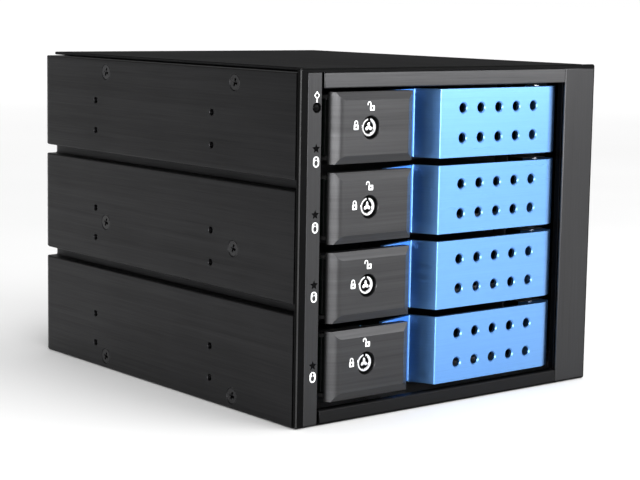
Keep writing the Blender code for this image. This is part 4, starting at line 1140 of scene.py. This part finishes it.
def blade_mesh(centre, middle, angle):
    """One fan blade: cambered sections from hub to tip, leaning less and getting longer outwards."""
    cage = bmesh.new()
    rings = []
    for station in range(BLADE_STATIONS + 1):
        share = station / BLADE_STATIONS
        radius = HUB_RADIUS - 1.0 + (BLADE_RADIUS - HUB_RADIUS + 1.0) * share
        chord = BLADE_CHORDS[0] + (BLADE_CHORDS[1] - BLADE_CHORDS[0]) * share
        lean = radians(BLADE_LEANS[0] + (BLADE_LEANS[1] - BLADE_LEANS[0]) * share)
        ring = []
        for along, rise in blade_section():
            reach = along * chord * sin(lean) + rise * cos(lean)
            around = along * chord * cos(lean) - rise * sin(lean)
            turn = angle + radians(BLADE_SWEEP * share) + around / radius
            spot = (centre[0] + radius * cos(turn), middle + reach, centre[1] + radius * sin(turn))
            ring.append(cage.verts.new(place(*spot)))
        rings.append(ring)
    for near, far in zip(rings, rings[1:]):
        for index in range(len(near)):
            after = (index + 1) % len(near)
            cage.faces.new((near[index], near[after], far[after], far[index]))
    cage.faces.new(rings[0])
    cage.faces.new(list(reversed(rings[-1])))
    bmesh.ops.remove_doubles(cage, verts=cage.verts, dist=1e-6)
    bmesh.ops.recalc_face_normals(cage, faces=cage.faces)
    return mesh_from(cage)


def build_fan_rotor():
    """A domed hub with seven swept, cambered blades."""
    centre = fan_place()[0]
    (_, front, _), (_, rear, _) = limits("fan_rotor")
    length = rear - front
    profile = [(0, 0), (HUB_RADIUS - 4, 0), (HUB_RADIUS - 1.2, 0.5), (HUB_RADIUS, 1.8)]
    profile += [(HUB_RADIUS, length), (0, length)]
    parts = [turned(profile, (centre[0], front, centre[1]), segments=72)]
    for index in range(BLADES):
        parts.append(blade_mesh(centre, (front + rear) / 2, tau * index / BLADES))
    show("fan_impeller", together(parts), DARK_PLASTIC, "fan", ["fan_rotor"])


def build_fan_guard():
    """A guard of round chromed wire: four rings on two crossed spokes that end in screw eyes."""
    centre = fan_place()[0]
    (_, front, _), (_, rear, _) = limits("fan_guard")
    middle = (front + rear) / 2
    rings = [circle(centre, radius, 72) for radius in GUARD_RINGS]
    reach = FAN_SCREW_OFFSET - 2.4
    spokes = [drawn_at(((-1, -sign), (1, sign)), centre, reach) for sign in (1, -1)]
    eyes = [circle(corner, EYE_RADIUS, 32) for corner in fan_corners(centre)]
    wires = []
    for lines, closed in ((rings, True), (spokes, False), (eyes, True)):
        for line in lines:
            wires.append(wire([(x, middle, z) for x, z in line], GUARD_WIRE, 3, closed))
    show("fan_wire_guard", together(wires), CHROME, stands_for=["fan_guard"])
    length = 6.0
    profile = [(0, 0), (1.9, 0), (1.9, length - 1.1), (EYE_RADIUS, length - 1.1), (EYE_RADIUS, length - 0.7)]
    profile += [(2.5, length - 0.15), (1.2, length), (0, length)]
    for index, (x, z) in enumerate(fan_corners(centre), start=1):
        screw = turned(profile, (x, rear - length - 0.02, z), segments=36)
        recess = cross_recess((x, rear, z), "rear", 3.0, 1.2)
        show(f"fan_screw_{index}", shaped(screw, cut=recess), BLACK_SCREW)


def build_fan_lead():
    """The fan's two-wire lead, sagging from its barrel to a grommet in the rear panel."""
    centre, front, _ = fan_place()
    left = centre[0] - LEAD_OFFSET
    for name, material, shift in (("red", WIRE_RED, 0.0), ("black", WIRE_BLACK, 1.5)):
        path = []
        for step in range(LEAD_STEPS + 1):
            share = step / LEAD_STEPS
            sag = sin(pi * share)
            depth = front + 12.0 - 13.4 * share ** 2 + 2.0 * sag
            height = centre[1] - 21.0 + shift + 4.0 * share - 3.0 * sag
            path.append((left + 10.5 * (1 - share) ** 2 - 1.2 * sag, depth, height))
        show(f"fan_lead_{name}", wire(path, LEAD_RADIUS, 2), material)
    grommet = turned(GROMMET, (left, front - 0.7, centre[1] - 16.3), segments=32)
    show("lead_grommet", grommet, DARK_PLASTIC)


# ---- studio

# The room's bright direction and its glow away from and toward it; distances over which the floor turns white
BRIGHT_SIDE = (0.39, -0.85, 0.35)
ROOM_GLOW = (0.27, 1.32)
FLOOR_FADE = (0.45, 2.2)


def area_light(name, spot, target, size, power, colour=(1, 1, 1)):
    lamp = bpy.data.lights.new(name, "AREA")
    lamp.shape = "RECTANGLE"
    lamp.size, lamp.size_y = size
    lamp.energy = power
    lamp.color = colour
    holder = bpy.data.objects.new(name, lamp)
    holder.location = spot
    holder.rotation_euler = (Vector(target) - Vector(spot)).to_track_quat("-Z", "Y").to_euler()
    bpy.context.scene.collection.objects.link(holder)


def studio_world():
    """A room that is bright at the front right and dim on every other side."""
    world = bpy.data.worlds.new("studio")
    world.use_nodes = True
    tree = world.node_tree
    direction = add_node(tree, "TexCoord").outputs["Generated"]
    toward = add_node(tree, "VectorMath", {0: direction, 1: BRIGHT_SIDE}, operation="DOT_PRODUCT")
    glow = spread(tree, toward.outputs["Value"], 0.15, 1.0, *ROOM_GLOW)
    seen = add_node(tree, "LightPath").outputs["Is Camera Ray"]
    strength = add_node(tree, "Mix", {0: seen, 2: glow, 3: 1.0}, data_type="FLOAT")
    tree.links.new(strength.outputs[0], tree.nodes["Background"].inputs["Strength"])
    tree.nodes["Background"].inputs["Color"].default_value = (1.0, 1.0, 1.0, 1.0)
    bpy.context.scene.world = world


def build_studio():
    bpy.ops.mesh.primitive_plane_add(size=200.0, location=(0, 0, -0.0002))
    floor = bpy.context.object
    floor.name = "studio_floor"
    paper, tree, shader = surface("pale_paper_floor", 0.0, [("Roughness", 0.9), ("Specular IOR Level", 0.1)])
    cloud = spread(tree, cloud_noise(tree, 3.0), 0.3, 0.7, 0.0, 1.0)
    toned = blend_colours(tree, cloud, (0.84, 0.84, 0.84), (0.87, 0.87, 0.87))
    tree.links.new(toned, shader.inputs["Base Color"])
    coordinates = add_node(tree, "TexCoord").outputs["Object"]
    away = add_node(tree, "VectorMath", {0: coordinates}, operation="LENGTH").outputs["Value"]
    tree.links.new(spread(tree, away, *FLOOR_FADE, 0.0, 0.55), shader.inputs["Emission Strength"])
    shader.inputs["Emission Color"].default_value = (1.0, 1.0, 1.0, 1.0)
    floor.data.materials.append(paper)
    studio_world()
    bpy.context.scene.view_settings.view_transform = "Standard"

    middle = (0.0, 0.0, 0.06)
    area_light("camera_side", (-0.87, -1.15, 0.22), middle, (1.4, 0.3), 24.0)
    area_light("near_front", (0.31, -0.62, 0.26), (-0.02, -0.1, 0.08), (0.6, 0.3), 2.9)
    area_light("overhead", (0.1, 0.1, 1.4), middle, (1.2, 1.2), 12.0)


CAMERA_SPOT = (-0.432394, -0.553779, 0.147135)
CAMERA_YAW = 39.1952
CAMERA_PITCH = 7.3622
CAMERA_ROLL = 0.9807
CAMERA_LENS = 96.77
CAMERA_SHIFT = (-0.0094, -0.0261)


def build_camera():
    """The camera stands at the front left, a little above the cage, and looks slightly down."""
    yaw, pitch, roll = (radians(value) for value in (CAMERA_YAW, CAMERA_PITCH, CAMERA_ROLL))
    forward = Vector((sin(yaw) * cos(pitch), cos(yaw) * cos(pitch), -sin(pitch)))
    level = Vector((cos(yaw), -sin(yaw), 0.0))
    upward = level.cross(forward)
    right = level * cos(roll) + upward * sin(roll)
    up = upward * cos(roll) - level * sin(roll)
    data = bpy.data.cameras.new("camera")
    data.lens = CAMERA_LENS
    data.shift_x, data.shift_y = CAMERA_SHIFT
    camera = bpy.data.objects.new("camera", data)
    turn = Matrix((right, up, -forward)).transposed().to_4x4()
    camera.matrix_world = Matrix.Translation(CAMERA_SPOT) @ turn
    bpy.context.scene.collection.objects.link(camera)
    bpy.context.scene.camera = camera


build_shell()
build_bezel()
build_trays()
build_inside()
build_rear()
build_studio()
build_camera()
